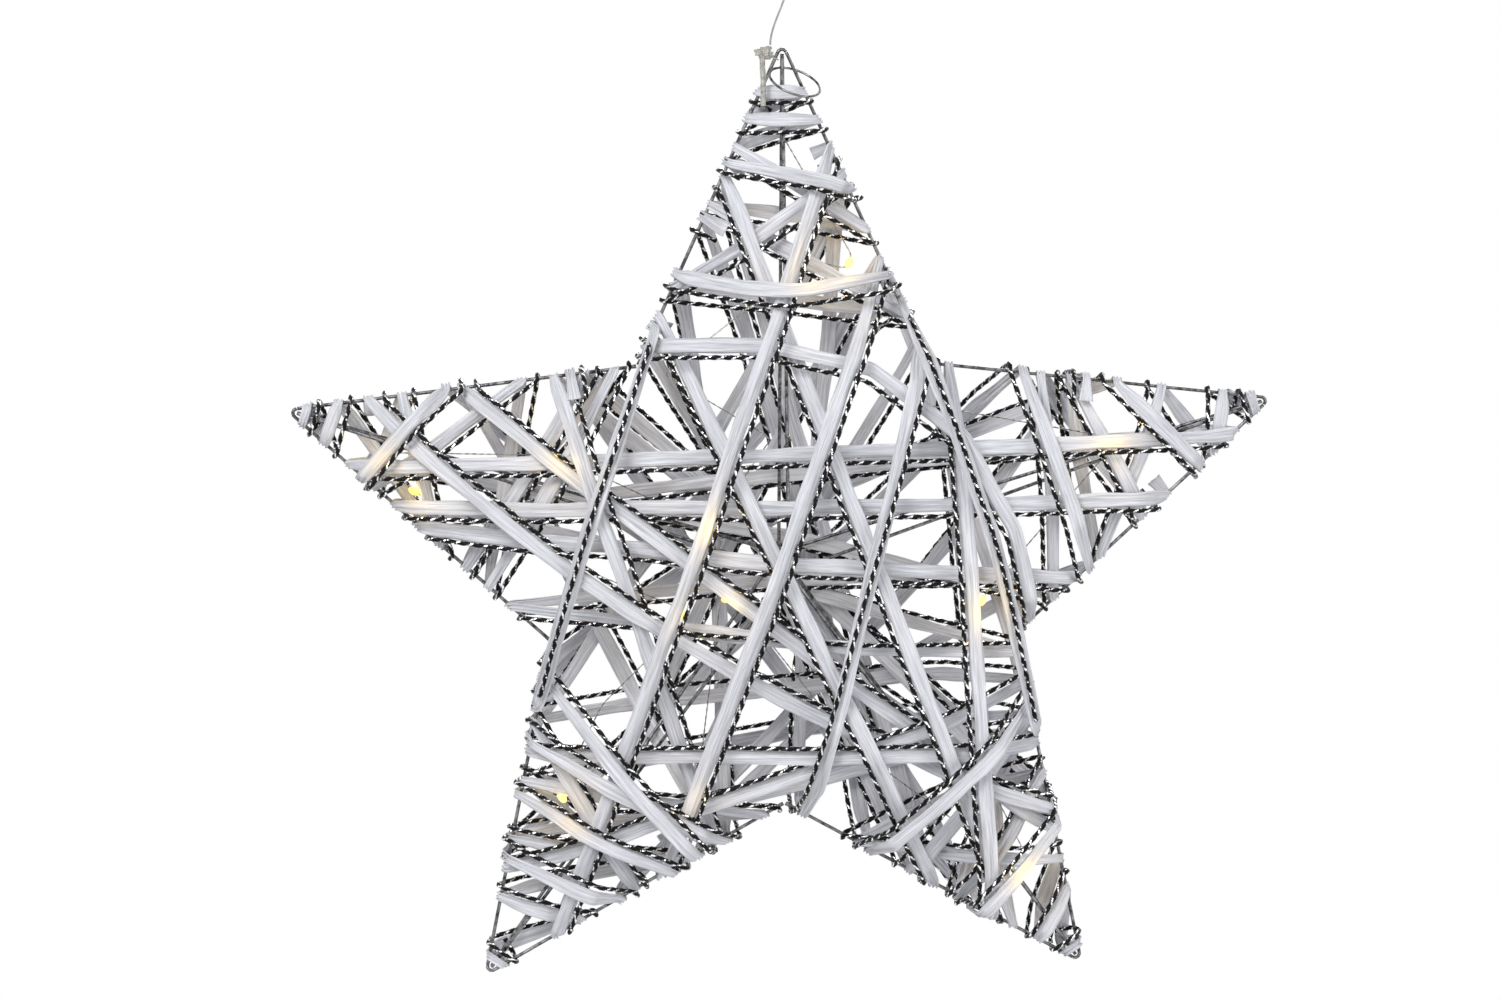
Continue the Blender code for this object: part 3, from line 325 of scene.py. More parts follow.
class HeightMap:
    """How far one face of the star stands out so far, on a grid over the star's plane."""

    def __init__(self, plan: StarPlan, rule: WindingRule) -> None:
        """Starts with the bare frame.

        Args:
            plan: the wire star.
            rule: the sizes of the windings.
        """
        self.plan, self.rule = plan, rule
        reach = plan.tip_radius + rule.ribbon_width
        self.low = -reach
        self.count = int(round(2 * reach / rule.cell)) + 1
        self.top = np.full((self.count, self.count), -plan.hub_depth)
        ticks = self.low + rule.cell * np.arange(self.count)
        self.x, self.z = np.meshgrid(ticks, ticks, indexing="ij")
        (inner, deep), (outer, shallow) = plan.ridge_ends()
        wire = plan.wire_radius
        for arm in range(len(Arm)):
            out = unit(plan.tip(arm))
            self.add([out * inner, out * outer], [deep + wire, shallow + wire], wire)
            for side in (0, 1):
                self.add([plan.tip(arm), plan.notch(arm, side)], [wire] * 2, wire)
        centre = [flat(0, 0), flat(0, 0)]
        self.add(centre, [plan.hub_depth + plan.nugget_radius] * 2, plan.nugget_radius)

    def window(self, low: np.ndarray, high: np.ndarray) -> tuple[slice, slice]:
        """Slices of the grid that cover a box of the plane.

        Args:
            low: the box's lower corner.
            high: its upper corner.

        Returns:
            The slices of the two axes.
        """
        # Past the box by a cell or two on every side, for what lies just outside it.
        first = np.clip(((low - self.low) / self.rule.cell).astype(int) - 1, 0, self.count)
        last = np.clip(((high - self.low) / self.rule.cell).astype(int) + 3, 0, self.count)
        return slice(first[0], last[0]), slice(first[1], last[1])

    def add(self, points: Sequence[np.ndarray], tops: Sequence[float], half: float) -> None:
        """Raises the grid under a strip.

        Args:
            points: the strip's middle line.
            tops: the height of its top at each of them.
            half: half its width.
        """
        reach = half + self.rule.cell
        for a, b, top_a, top_b in zip(points, points[1:], tops, tops[1:]):
            box = self.window(np.minimum(a, b) - reach, np.maximum(a, b) + reach)
            x, z = self.x[box] - a[0], self.z[box] - a[1]
            run = b - a
            length = max(float(run @ run), self.rule.cell**2)
            share = np.clip((x * run[0] + z * run[1]) / length, 0, 1)
            away = np.hypot(x - share * run[0], z - share * run[1])
            top = top_a + (top_b - top_a) * share
            covered = away <= reach
            self.top[box][covered] = np.maximum(self.top[box][covered], top[covered])

    def over(self, point: np.ndarray, half: float) -> float:
        """The highest top near a point.

        Args:
            point: the point.
            half: half the width of what will lie there.

        Returns:
            The height, deep inside the star where nothing lies.
        """
        reach = half + self.rule.side_gap
        box = self.window(point - reach, point + reach)
        away = np.hypot(self.x[box] - point[0], self.z[box] - point[1])
        near = self.top[box][away <= reach]
        return float(near.max()) if len(near) else -self.plan.hub_depth


def stretched(distances: np.ndarray, needed: np.ndarray) -> list[int]:
    """Stretches a string over points of given heights.

    Args:
        distances: how far along the string each point is.
        needed: the least height of the string there.

    Returns:
        Indices of the points that hold it up.
    """
    held = [0]
    for i in range(1, len(distances)):
        while len(held) > 1:
            a, b = held[-2], held[-1]
            rise = (needed[i] - needed[a]) * (distances[b] - distances[a])
            span = distances[i] - distances[a]
            if needed[b] * span <= needed[a] * span + rise:
                held.pop()
            else:
                break
        held.append(i)
    return held


def thinned(held: list[int], distances: np.ndarray, needed: np.ndarray, slack: float) -> list[int]:
    """Drops the supports of a string that hardly lift it.

    Args:
        held: indices of the points that hold it up.
        distances: how far along the string each point is.
        needed: the least height of the string there.
        slack: a support that lifts the string by less is dropped.

    Returns:
        The indices that are left.
    """
    held = list(held)
    while len(held) > 2:
        drops = []
        for a, b, c in zip(held, held[1:], held[2:]):
            share = (distances[b] - distances[a]) / (distances[c] - distances[a])
            drops.append(needed[b] - needed[a] - (needed[c] - needed[a]) * share)
        least = int(np.argmin(drops))
        if drops[least] > slack:
            break
        held.pop(least + 1)
    return held


class Strand:
    """One unbroken ribbon or cord under way, from its first tail to its last."""

    def __init__(
        self,
        label: str,
        places: list[Place],
        half: float,
        thickness: float,
        rule: WindingRule,
        plan: StarPlan,
        lift: float = 0.0,
    ) -> None:
        """Keeps what the strand follows; nothing is laid yet.

        Args:
            label: the winding's name.
            places: its slots' places, outward directions and edge directions.
            half: half its width.
            thickness: its thickness.
            rule: the windings' sizes.
            plan: the wire star.
            lift: how much further than the first layer it stands off the outline wire.
        """
        self.label, self.places, self.half, self.thickness = label, places, half, thickness
        self.rule, self.plan = rule, plan
        self.wrap = rule.wrap_radius(plan, thickness) + lift
        self.gap = rule.over_gap if lift else rule.gap
        self.runs: list[tuple[int, list[np.ndarray], list[float]]] = []

    def stretch(
        self, heights: HeightMap, start: np.ndarray, end: np.ndarray, bow: float = 0.0
    ) -> tuple[list[np.ndarray], list[float]]:
        """Stretches one run over a face.

        Args:
            heights: the face's heights so far; raised by the run.
            start: where the run begins.
            end: where it ends.
            bow: how far it bows sideways, as a share of its length.

        Returns:
            The run's points in the plane and their heights.
        """
        rule = self.rule
        count = max(int(float(np.linalg.norm(end - start)) / rule.cell), rule.fewest_cells)
        shares = np.linspace(0, 1, count + 1)[:, None]
        across = flat(end[1] - start[1], start[0] - end[0])
        control = (start + end) / 2 - across * bow
        path = (1 - shares) ** 2 * start + 2 * shares * (1 - shares) * control + shares**2 * end
        steps = np.linalg.norm(np.diff(path, axis=0), axis=1)
        distances = np.concatenate([[0.0], np.cumsum(steps)])
        needed = np.array([heights.over(p, self.half) for p in path])
        needed = needed + self.gap + self.thickness / 2
        for i in (0, -1):
            needed[i] = max(needed[i], self.wrap)
        held = thinned(stretched(distances, needed), distances, needed, rule.slack)
        if bow:
            marks = np.arange(1, int(distances[-1] / rule.bow_step) + 1) * rule.bow_step
            extra = {int(np.argmin(abs(distances - mark))) for mark in marks}
            tops = np.interp(distances, distances[held], needed[held])
            held = sorted(set(held) | extra)
            needed = tops
        points = [path[i] for i in held]
        levels = [float(needed[i]) for i in held]
        heights.add(points, [level + self.thickness / 2 for level in levels], self.half)
        return points, levels

    def lay(self, faces: list[HeightMap], number: int) -> None:
        """Lays one run, on the front if its number is even and on the back if it is odd.

        Args:
            faces: the height maps of the front and the back.
            number: the run's number.
        """
        start, end = self.places[number][0], self.places[number + 1][0]
        face = number % 2
        bow = BOWS.get((self.label, number), 0.0)
        self.runs.append((face, *self.stretch(faces[face], start, end, bow)))

    def lay_tail(self, faces: list[HeightMap], last: bool) -> None:
        """Lays the short free end on the face opposite to the run next to it.

        Args:
            faces: the height maps of the front and the back.
            last: whether it is the end, not the beginning, of the strand.
        """
        place, outward, _ = self.places[-1 if last else 0]
        inside = place - outward * self.rule.tail
        face = (len(self.places) - 1) % 2 if last else 1
        ends = (place, inside) if last else (inside, place)
        tail = (face, *self.stretch(faces[face], *ends))
        if last:
            self.runs.append(tail)
        else:
            self.runs.insert(0, tail)

    def rows(self) -> list[Row]:
        """The sections along the strand.

        Returns:
            Middle point, width direction in the star's plane and width share of each section.
        """
        rows: list[Row] = []
        for number, (face, points, levels) in enumerate(self.runs):
            sign = (-1, 1)[face]
            for i, (point, level) in enumerate(zip(points, levels)):
                before, after = points[max(i - 1, 0)], points[min(i + 1, len(points) - 1)]
                going = unit(after - before)
                across = flat(going[1], -going[0]) * -sign
                share = 1.0
                first = i == 0 and number > 0
                if first or (i == len(points) - 1 and number < len(self.runs) - 1):
                    along = self.places[number - 1 if first else number][2]
                    across = unit(across + (along if along @ across > 0 else -along))
                    share = self.rule.edge_width_share
                rows.append((self.plan.world(point, sign * level), across, share))
            if number < len(self.runs) - 1:
                place, outward, along = self.places[number]
                across = along if along @ rows[-1][1] > 0 else -along
                for turn in self.rule.turn_steps:
                    out, up = math.cos(turn) * self.wrap, math.sin(turn) * self.wrap * sign
                    beyond = self.plan.world(place + outward * out, up)
                    rows.append((beyond, across, self.rule.edge_width_share))
        return rows


class Winder:
    """Lays all ribbons and cords in the order in which they were wound."""

    def __init__(self, plan: StarPlan, rule: WindingRule) -> None:
        """Winds everything at once.

        Args:
            plan: the wire star.
            rule: the windings' sizes.
        """
        self.plan, self.rule = plan, rule
        self.faces = [HeightMap(plan, rule), HeightMap(plan, rule)]
        self.strands: dict[str, tuple[Strand, Strand]] = {}
        for label, slots in WINDING_SLOTS.items():
            self.begin(label, slots, 0.0)
        for label, count in RUNS_ON_ARM.items():
            self.lay(label, range(count))
        for label, count in RUNS_ON_ARM.items():
            self.lay(label, range(count, len(WINDING_SLOTS[label]) - 1))
        for pair in self.strands.values():
            for strand in pair:
                strand.lay_tail(self.faces, last=True)
        for label, slots in OVER_SLOTS.items():
            self.begin(label, slots, rule.layer)
            self.lay(label, range(len(slots) - 1))
            for strand in self.strands[label]:
                strand.lay_tail(self.faces, last=True)

    def begin(self, label: str, slots: list[Slot], lift: float) -> None:
        """Starts a ribbon and its cord with their first tails.

        Args:
            label: the winding's name.
            slots: its slots.
            lift: how much further than the first layer it stands off the outline wire.
        """
        rule = self.rule
        thickness = rule.over_thickness if lift else rule.ribbon_thickness
        widths = ((rule.ribbon_width / 2, thickness), (rule.cord_radius, 2 * rule.cord_radius))
        pair = tuple(
            Strand(label, self.places(slots, side), half, thickness, rule, self.plan, lift)
            for side, (half, thickness) in zip((-1, 1), widths)
        )
        self.strands[label] = pair
        for strand in pair:
            strand.lay_tail(self.faces, last=False)

    def lay(self, label: str, numbers: range) -> None:
        """Lays some of a winding's runs, the ribbon's and then the cord's each time.

        Args:
            label: the winding's name.
            numbers: the runs' numbers.
        """
        for number in numbers:
            for strand in self.strands[label]:
                strand.lay(self.faces, number)

    def places(self, slots: list[Slot], half: int) -> list[Place]:
        """The places of a ribbon or of the cord beside it, slot by slot.

        Args:
            slots: the winding's slots.
            half: -1 for the ribbon, 1 for the cord.

        Returns:
            Place, outward direction and edge direction for each slot.
        """
        places = [self.plan.slot_place(slot) for slot in slots]
        moved = []
        for i, (place, outward, along) in enumerate(places):
            slants = [
                abs(float(unit(places[k][0] - place) @ outward))
                for k in (i - 1, i + 1)
                if 0 <= k < len(places)
            ]
            aside = min(self.rule.pair_offset / min(slants), self.rule.widest_pair)
            moved.append((place + along * (aside / 2 * half), outward, along))
        return moved


CORNER_SHARE = 0.48  # the most that a rounded corner takes of a stretch
CORNER_POINTS = 5  # on a rounded corner
FEWEST_STEPS = 3  # of a route
OTHER_NOISE = Vector((7.3, 1.9, 4.1))  # where the same noise reads differently
WANDER_GAIN = 1.6  # brings the noise to between about -1 and 1
WANDER_HEIGHT = 0.37  # between the noise's grid planes, on which it is weaker
TINY = 1e-6


@dataclass
class Route:
    """A smooth way in space with a width direction and a width share at each step."""

    points: np.ndarray
    across: np.ndarray
    shares: np.ndarray
    distances: np.ndarray

    @classmethod
    def rounded(cls, rows: Sequence[Row], reach: float, step: float) -> "Route":
        """Rounds the corners of a strand's rows and walks along them evenly.

        Args:
            rows: middle point, width direction and width share of each section.
            reach: how far before and after a corner its rounding starts.
            step: the distance between two points of the result.

        Returns:
            The route.
        """
        points = np.array([list(row[0]) for row in rows])
        across = np.array([[row[1][0], 0.0, row[1][1]] for row in rows])
        shares = np.array([row[2] for row in rows])
        data = np.hstack([points, across, shares[:, None]])
        lengths = np.linalg.norm(np.diff(points, axis=0), axis=1)
        made = [data[0]]
        for i in range(1, len(data) - 1):
            before = min(reach / lengths[i - 1], CORNER_SHARE)
            after = min(reach / lengths[i], CORNER_SHARE)
            start = data[i] + (data[i - 1] - data[i]) * before
            end = data[i] + (data[i + 1] - data[i]) * after
            for t in np.linspace(0.0, 1.0, CORNER_POINTS):
                made.append((1 - t) ** 2 * start + 2 * t * (1 - t) * data[i] + t * t * end)
        made.append(data[-1])
        walk = np.array(made)
        steps = np.linalg.norm(np.diff(walk[:, :3], axis=0), axis=1)
        walked = np.concatenate([[0.0], np.cumsum(steps)])
        count = max(int(walked[-1] / step), FEWEST_STEPS)
        marks = np.linspace(0.0, walked[-1], count + 1)
        even = np.stack([np.interp(marks, walked, column) for column in walk.T], axis=1)
        return cls(even[:, :3], even[:, 3:6], even[:, 6], marks)

    def sway(self, reach: float = 0.0009, wave: float = 0.045) -> None:
        """Bends the way a little in the star's plane, the same at the same place in space.

        Args:
            reach: how far it bends at most.
            wave: the size of the bends.
        """
        for point in self.points:
            place = Vector(point) / wave
            point[0] += noise.noise(place) * reach
            point[2] += noise.noise(place + OTHER_NOISE) * reach

    def frames(self) -> tuple[np.ndarray, np.ndarray, np.ndarray]:
        """The directions at each step.

        Returns:
            Forward, sideways and upright unit vectors.
        """
        forward = np.gradient(self.points, axis=0)
        forward /= np.linalg.norm(forward, axis=1)[:, None]
        side = self.across - forward * np.sum(self.across * forward, axis=1)[:, None]
        side /= np.linalg.norm(side, axis=1)[:, None]
        return forward, side, np.cross(side, forward)


def wandering(distances: np.ndarray, wave: float, seed: float) -> np.ndarray:
    """A slow random wave between about -1 and 1 along a way.

    Args:
        distances: the distances along the way.
        wave: the length of the waves.
        seed: another number gives another wave.

    Returns:
        The wave's value at each distance.
    """
    places = [Vector((distance / wave, seed, WANDER_HEIGHT)) for distance in distances]
    return np.array([noise.noise(place) * WANDER_GAIN for place in places])


def bent_grid(
    name: str, rings: np.ndarray, marks: np.ndarray, turns: np.ndarray, closed: bool
) -> bpy.types.Object:
    """Bends a flat grid onto sections that follow each other along a way.

    Args:
        name: the piece's name.
        rings: the sections' points, one row a section.
        marks: each section's distance along the way, which becomes V of the UV map.
        turns: each column's place across or round, which becomes U.
        closed: whether the last column meets the first, as round a tube.

    Returns:
        The new object, at the origin.
    """
    count, width = rings.shape[0], rings.shape[1]
    bm = bmesh.new()
    bmesh.ops.create_grid(bm, x_segments=width - 1, y_segments=count - 1, size=1.0)
    bm.verts.ensure_lookup_table()
    if len(bm.verts) != count * width:
        raise RuntimeError(f"{name}: {len(bm.verts)} points, {count * width} expected")
    uv = bm.loops.layers.uv.new("Way")
    for face in bm.faces:
        for loop in face.loops:
            row, column = divmod(loop.vert.index, width)
            loop[uv].uv = (turns[column], marks[row])
    for vert in bm.verts:
        row, column = divmod(vert.index, width)
        vert.co = rings[row, column]
    if closed:
        bmesh.ops.remove_doubles(bm, verts=bm.verts, dist=TINY)
        rims = [edge for edge in bm.edges if edge.is_boundary]
        bmesh.ops.holes_fill(bm, edges=rims, sides=0)
        bmesh.ops.recalc_face_normals(bm, faces=bm.faces)
    return finished_mesh(name, bm)


def finished_mesh(name: str, bm: bmesh.types.BMesh) -> bpy.types.Object:
    """Turns a bmesh into a smooth-shaded object at the origin.

    Args:
        name: the object's name.
        bm: the bmesh, which is freed.

    Returns:
        The object.
    """
    mesh = bpy.data.meshes.new(name)
    bm.to_mesh(mesh)
    bm.free()
    mesh.polygons.foreach_set("use_smooth", [True] * len(mesh.polygons))
    piece = bpy.data.objects.new(name, mesh)
    bpy.context.scene.collection.objects.link(piece)
    return piece


def rolled_tube(name: str, route: Route, sides: int, profile: Profile) -> bpy.types.Object:
    """Rolls a grid into a tube round a route.

    Args:
        name: the piece's name.
        route: the way of the tube's middle.
        sides: how many faces go round.
        profile: the radius at each distance (column) and turn (row vector).

    Returns:
        The tube, closed at both ends.
    """
    _, side, upright = route.frames()
    turns = np.linspace(0.0, 1.0, sides + 1)
    turns_around = turns * 2 * math.pi
    radii = profile(route.distances[:, None], turns_around[None, :])
    cosines = np.cos(turns_around)
    sines = np.sin(turns_around)
    cosines[-1], sines[-1] = cosines[0], sines[0]
    radii[:, -1] = radii[:, 0]
    rings = (
        route.points[:, None, :]
        + side[:, None, :] * (radii * cosines)[:, :, None]
        + upright[:, None, :] * (radii * sines)[:, :, None]
    )
    return bent_grid(name, rings, route.distances, turns, closed=True)


def twisted(radius: float, groove: float, pitch: float) -> Profile:
    """Makes the profile of two plies twisted together.

    Args:
        radius: how far they reach from the middle.
        groove: depth of the groove between them, as a share of the radius.
        pitch: from one ply to the next along the cord.

    Returns:
        The profile, for rolled_tube.
    """
    wave = 2 * math.pi / pitch

    def profile(distance: np.ndarray, turn: np.ndarray) -> np.ndarray:
        """The radius at a distance along the cord and a turn round it."""
        return radius * (1 - groove + groove * np.cos(2 * (turn - distance * wave / 2)))

    return profile


def straight_rows(points: Sequence[Vector]) -> list[Row]:
    """Rows along plain points, with a width direction that is never along them.

    Args:
        points: the points.

    Returns:
        Point, width direction and full width share for each point.
    """
    rows: list[Row] = []
    for i, point in enumerate(points):
        going = points[min(i + 1, len(points) - 1)] - points[max(i - 1, 0)]
        rows.append((point, unit(flat(going.z, -going.x) + flat(TINY, 0)), 1.0))
    return rows


def wire_ring(radius: float, wire_radius: float, sides: int, steps: int) -> bmesh.types.BMesh:
    """A closed ring of round wire about Z.

    Args:
        radius: from the ring's middle to the wire's.
        wire_radius: the wire's own radius.
        sides: faces round the wire.
        steps: faces round the ring.

    Returns:
        The ring's bmesh.
    """
    bm = bmesh.new()
    circle = bmesh.ops.create_circle(bm, segments=sides, radius=wire_radius)["verts"]
    bmesh.ops.rotate(bm, verts=circle, matrix=Matrix.Rotation(math.pi / 2, 3, "X"))
    bmesh.ops.translate(bm, verts=circle, vec=(radius, 0.0, 0.0))
    bmesh.ops.spin(
        bm, geom=bm.verts[:] + bm.edges[:], axis=(0, 0, 1), steps=steps, angle=2 * math.pi,
        use_merge=True,
    )
    bmesh.ops.recalc_face_normals(bm, faces=bm.faces)
    return bm


class NodeSheet:
    """A short way to place and join shader nodes in one tree."""

    def __init__(self, tree: bpy.types.NodeTree) -> None:
        """Keeps the tree."""
        self.tree = tree

    def add(self, kind: str, **values: object) -> bpy.types.Node:
        """Places a node; a value named like a property sets it, any other goes to a socket.

        Args:
            kind: the node's type.
            values: properties, or sockets as feed takes them.

        Returns:
            The node.
        """
        node = self.tree.nodes.new(kind)
        for key, value in values.items():
            if hasattr(node, key) and not isinstance(value, bpy.types.NodeSocket):
                setattr(node, key, value)
            else:
                self.feed(node, key, value)
        return node

    def feed(self, node: bpy.types.Node, key: str, value: object) -> None:
        """Sets one input socket of a node, or links another node's output to it.

        Args:
            node: the node.
            key: the socket's name with underscores for spaces, or its number as i0, i1 and so on.
            value: a plain value or an output socket.
        """
        if key[0] == "i" and key[1:].isdigit():
            socket = node.inputs[int(key[1:])]
        else:
            name = key.replace("_", " ").lower()
            socket = next(entry for entry in node.inputs if entry.name.lower() == name)
        if isinstance(value, bpy.types.NodeSocket):
            self.tree.links.new(value, socket)
        else:
            socket.default_value = value

    def ramp(self, factor: bpy.types.NodeSocket, stops: Sequence[tuple]) -> bpy.types.NodeSocket:
        """Places a colour ramp.

        Args:
            factor: the value that it reads.
            stops: place and colour of each stop.

        Returns:
            The ramp's colour.
        """
        node = self.add("ShaderNodeValToRGB", i0=factor)
        ramp = node.color_ramp
        while len(ramp.elements) < len(stops):
            ramp.elements.new(0.5)
        for element, (place, colour) in zip(ramp.elements, stops):
            element.position = place
            element.color = (*colour, 1.0)
        return node.outputs[0]

    def remap(
        self, value: bpy.types.NodeSocket, start: tuple[float, float], end: tuple[float, float]
    ) -> bpy.types.NodeSocket:
        """Carries a value from one range to another.

        Args:
            value: the value.
            start: the range that it comes from.
            end: the range that it goes to.

        Returns:
            The carried value.
        """
        node = self.add(
            "ShaderNodeMapRange",
            Value=value, From_Min=start[0], From_Max=start[1], To_Min=end[0], To_Max=end[1],
        )
        return node.outputs[0]

    def maths(self, kind: str, *terms: object) -> bpy.types.NodeSocket:
        """The result of a Math node of the given operation on its terms."""
        given = {f"i{place}": term for place, term in enumerate(terms)}
        return self.add("ShaderNodeMath", operation=kind, **given).outputs[0]

    def blend(self, a: object, b: object, share: float) -> bpy.types.NodeSocket:
        """The weighted sum of two values; the share is the first one's."""
        first, second = self.maths("MULTIPLY", a, share), self.maths("MULTIPLY", b, 1 - share)
        return self.maths("ADD", first, second)

    def way(self) -> bpy.types.NodeSocket:
        """The place on a strand, across and along it."""
        return self.add("ShaderNodeUVMap", uv_map="Way").outputs[0]

    def moved(self, place: bpy.types.NodeSocket, *shift: float) -> bpy.types.NodeSocket:
        """A place moved by a shift, for another part of the same pattern."""
        return self.add("ShaderNodeVectorMath", operation="ADD", i0=place, i1=shift).outputs[0]

    def eye_mask(self) -> bpy.types.NodeSocket:
        """Finds what the eye sees, straight, in a reflection or through something clear.

        Returns:
            One there and zero elsewhere.
        """
        path = self.add("ShaderNodeLightPath")
        seen = self.maths("MAXIMUM", path.outputs["Is Camera Ray"], path.outputs["Is Glossy Ray"])
        return self.maths("MAXIMUM", seen, path.outputs["Is Transmission Ray"])


class Effect(Enum):
    """Shader node groups that several finishes share: the name, and the inputs but the vector."""

    FIBRES = ("lengthwise_fibres", {"Across": 5000.0, "Along": 60.0})
    PLIES = ("twisted_plies", {"Turns": 200.0, "Plies": 2.0})
    MOTTLING = ("soft_mottling", {"Scale": 300.0})


FIBRE_DETAIL = 3.0
FIBRE_ROUGHNESS = 0.6
BROAD_DETAIL = 4.0
FINE_DETAIL = 2.0
FINE_SCALE = 7.0  # of the finer blotches, against the broad ones
BROAD_SHARE = 0.7  # of the broad blotches in the whole


def fibres(
    sheet: NodeSheet,
    vector: bpy.types.NodeSocket,
    across: bpy.types.NodeSocket,
    along: bpy.types.NodeSocket,
) -> bpy.types.NodeSocket:
    """Noise drawn out along a way.

    Args:
        sheet: the group's sheet.
        vector: the place, across and along the way.
        across: how fine the fibres are.
        along: how short they are.

    Returns:
        The noise.
    """
    scale = sheet.add("ShaderNodeCombineXYZ", X=across, Y=along, Z=1.0)
    drawn = sheet.add("ShaderNodeVectorMath", operation="MULTIPLY", i0=vector, i1=scale.outputs[0])
    grain = sheet.add(
        "ShaderNodeTexNoise",
        Vector=drawn.outputs[0], Scale=1.0, Detail=FIBRE_DETAIL, Roughness=FIBRE_ROUGHNESS,
    )
    return grain.outputs[0]


def plies(
    sheet: NodeSheet,
    vector: bpy.types.NodeSocket,
    turns: bpy.types.NodeSocket,
    count: bpy.types.NodeSocket,
) -> bpy.types.NodeSocket:
    """Stripes twisted round a cord.

    Args:
        sheet: the group's sheet.
        vector: the place, round and along the cord.
        turns: turns of the twist in a metre.
        count: how many plies are twisted.

    Returns:
        One on a ply and zero between two.
    """
    parts = sheet.add("ShaderNodeSeparateXYZ", Vector=vector)
    along = sheet.maths("MULTIPLY", parts.outputs[1], turns)
    phase = sheet.maths("MULTIPLY", sheet.maths("SUBTRACT", parts.outputs[0], along), count)
    wave = sheet.maths("COSINE", sheet.maths("MULTIPLY", phase, 2 * math.pi))
    return sheet.maths("MULTIPLY_ADD", wave, 0.5, 0.5)


def mottling(
    sheet: NodeSheet, vector: bpy.types.NodeSocket, scale: bpy.types.NodeSocket
) -> bpy.types.NodeSocket:
    """Soft blotches with finer ones in them.

    Args:
        sheet: the group's sheet.
        vector: the place.
        scale: the noise's scale.

    Returns:
        The blotches' value.
    """
    finer = sheet.maths("MULTIPLY", scale, FINE_SCALE)
    broad = sheet.add("ShaderNodeTexNoise", Vector=vector, Scale=scale, Detail=BROAD_DETAIL)
    fine = sheet.add("ShaderNodeTexNoise", Vector=vector, Scale=finer, Detail=FINE_DETAIL)
    return sheet.blend(broad.outputs[0], fine.outputs[0], BROAD_SHARE)


PATTERNS: dict[Effect, Callable[..., bpy.types.NodeSocket]] = {
    Effect.FIBRES: fibres,
    Effect.PLIES: plies,
    Effect.MOTTLING: mottling,
}


def effect_group(effect: Effect) -> bpy.types.NodeTree:
    """A shared effect's node group, built the first time it is asked for.

    Args:
        effect: which effect.

    Returns:
        The group, with its inputs and outputs.
    """
    name, settings = effect.value
    found = bpy.data.node_groups.get(name)
    if found is not None:
        return found
    group = bpy.data.node_groups.new(name, "ShaderNodeTree")
    group.interface.new_socket(name="Value", in_out="OUTPUT", socket_type="NodeSocketFloat")
    group.interface.new_socket(name="Vector", in_out="INPUT", socket_type="NodeSocketVector")
    for key, value in settings.items():
        entry = group.interface.new_socket(name=key, in_out="INPUT", socket_type="NodeSocketFloat")
        entry.default_value = value
    sheet = NodeSheet(group)
    given = sheet.add("NodeGroupInput").outputs[: len(settings) + 1]
    sheet.add("NodeGroupOutput", i0=PATTERNS[effect](sheet, *given))
    return group


@dataclass(frozen=True)
class Finish:
    """What every finish has: a name, and a Principled shader with plain values."""

    name: str
    metallic: float = 0.0
    roughness: float = 0.5
    bump_strength: float = 0.6

    def start(self) -> tuple[bpy.types.Material, NodeSheet, bpy.types.Node]:
        """Begins the finish.

        Returns:
            A fresh material, its node sheet and its shader.
        """
        made = bpy.data.materials.new(self.name)
        made.use_nodes = True
        sheet = NodeSheet(made.node_tree)
        shader = made.node_tree.nodes["Principled BSDF"]
        sheet.feed(shader, "Metallic", self.metallic)
        sheet.feed(shader, "Roughness", self.roughness)
        return made, sheet, shader

    def effect(self, sheet: NodeSheet, effect: Effect, **values: object) -> bpy.types.NodeSocket:
        """Places a shared effect in this finish.

        Args:
            sheet: the finish's sheet.
            effect: the effect.
            values: its inputs.

        Returns:
            The effect's value.
        """
        node = sheet.add("ShaderNodeGroup", node_tree=effect_group(effect))
        for key, value in values.items():
            sheet.feed(node, key, value)
        return node.outputs[0]

    def bump(
        self, sheet: NodeSheet, shader: bpy.types.Node, height: bpy.types.NodeSocket, depth: float
    ) -> None:
        """Joins a height to the shader's normal through a Bump node."""
        node = sheet.add(
            "ShaderNodeBump", Strength=self.bump_strength, Distance=depth, Height=height
        )
        sheet.feed(shader, "Normal", node.outputs[0])


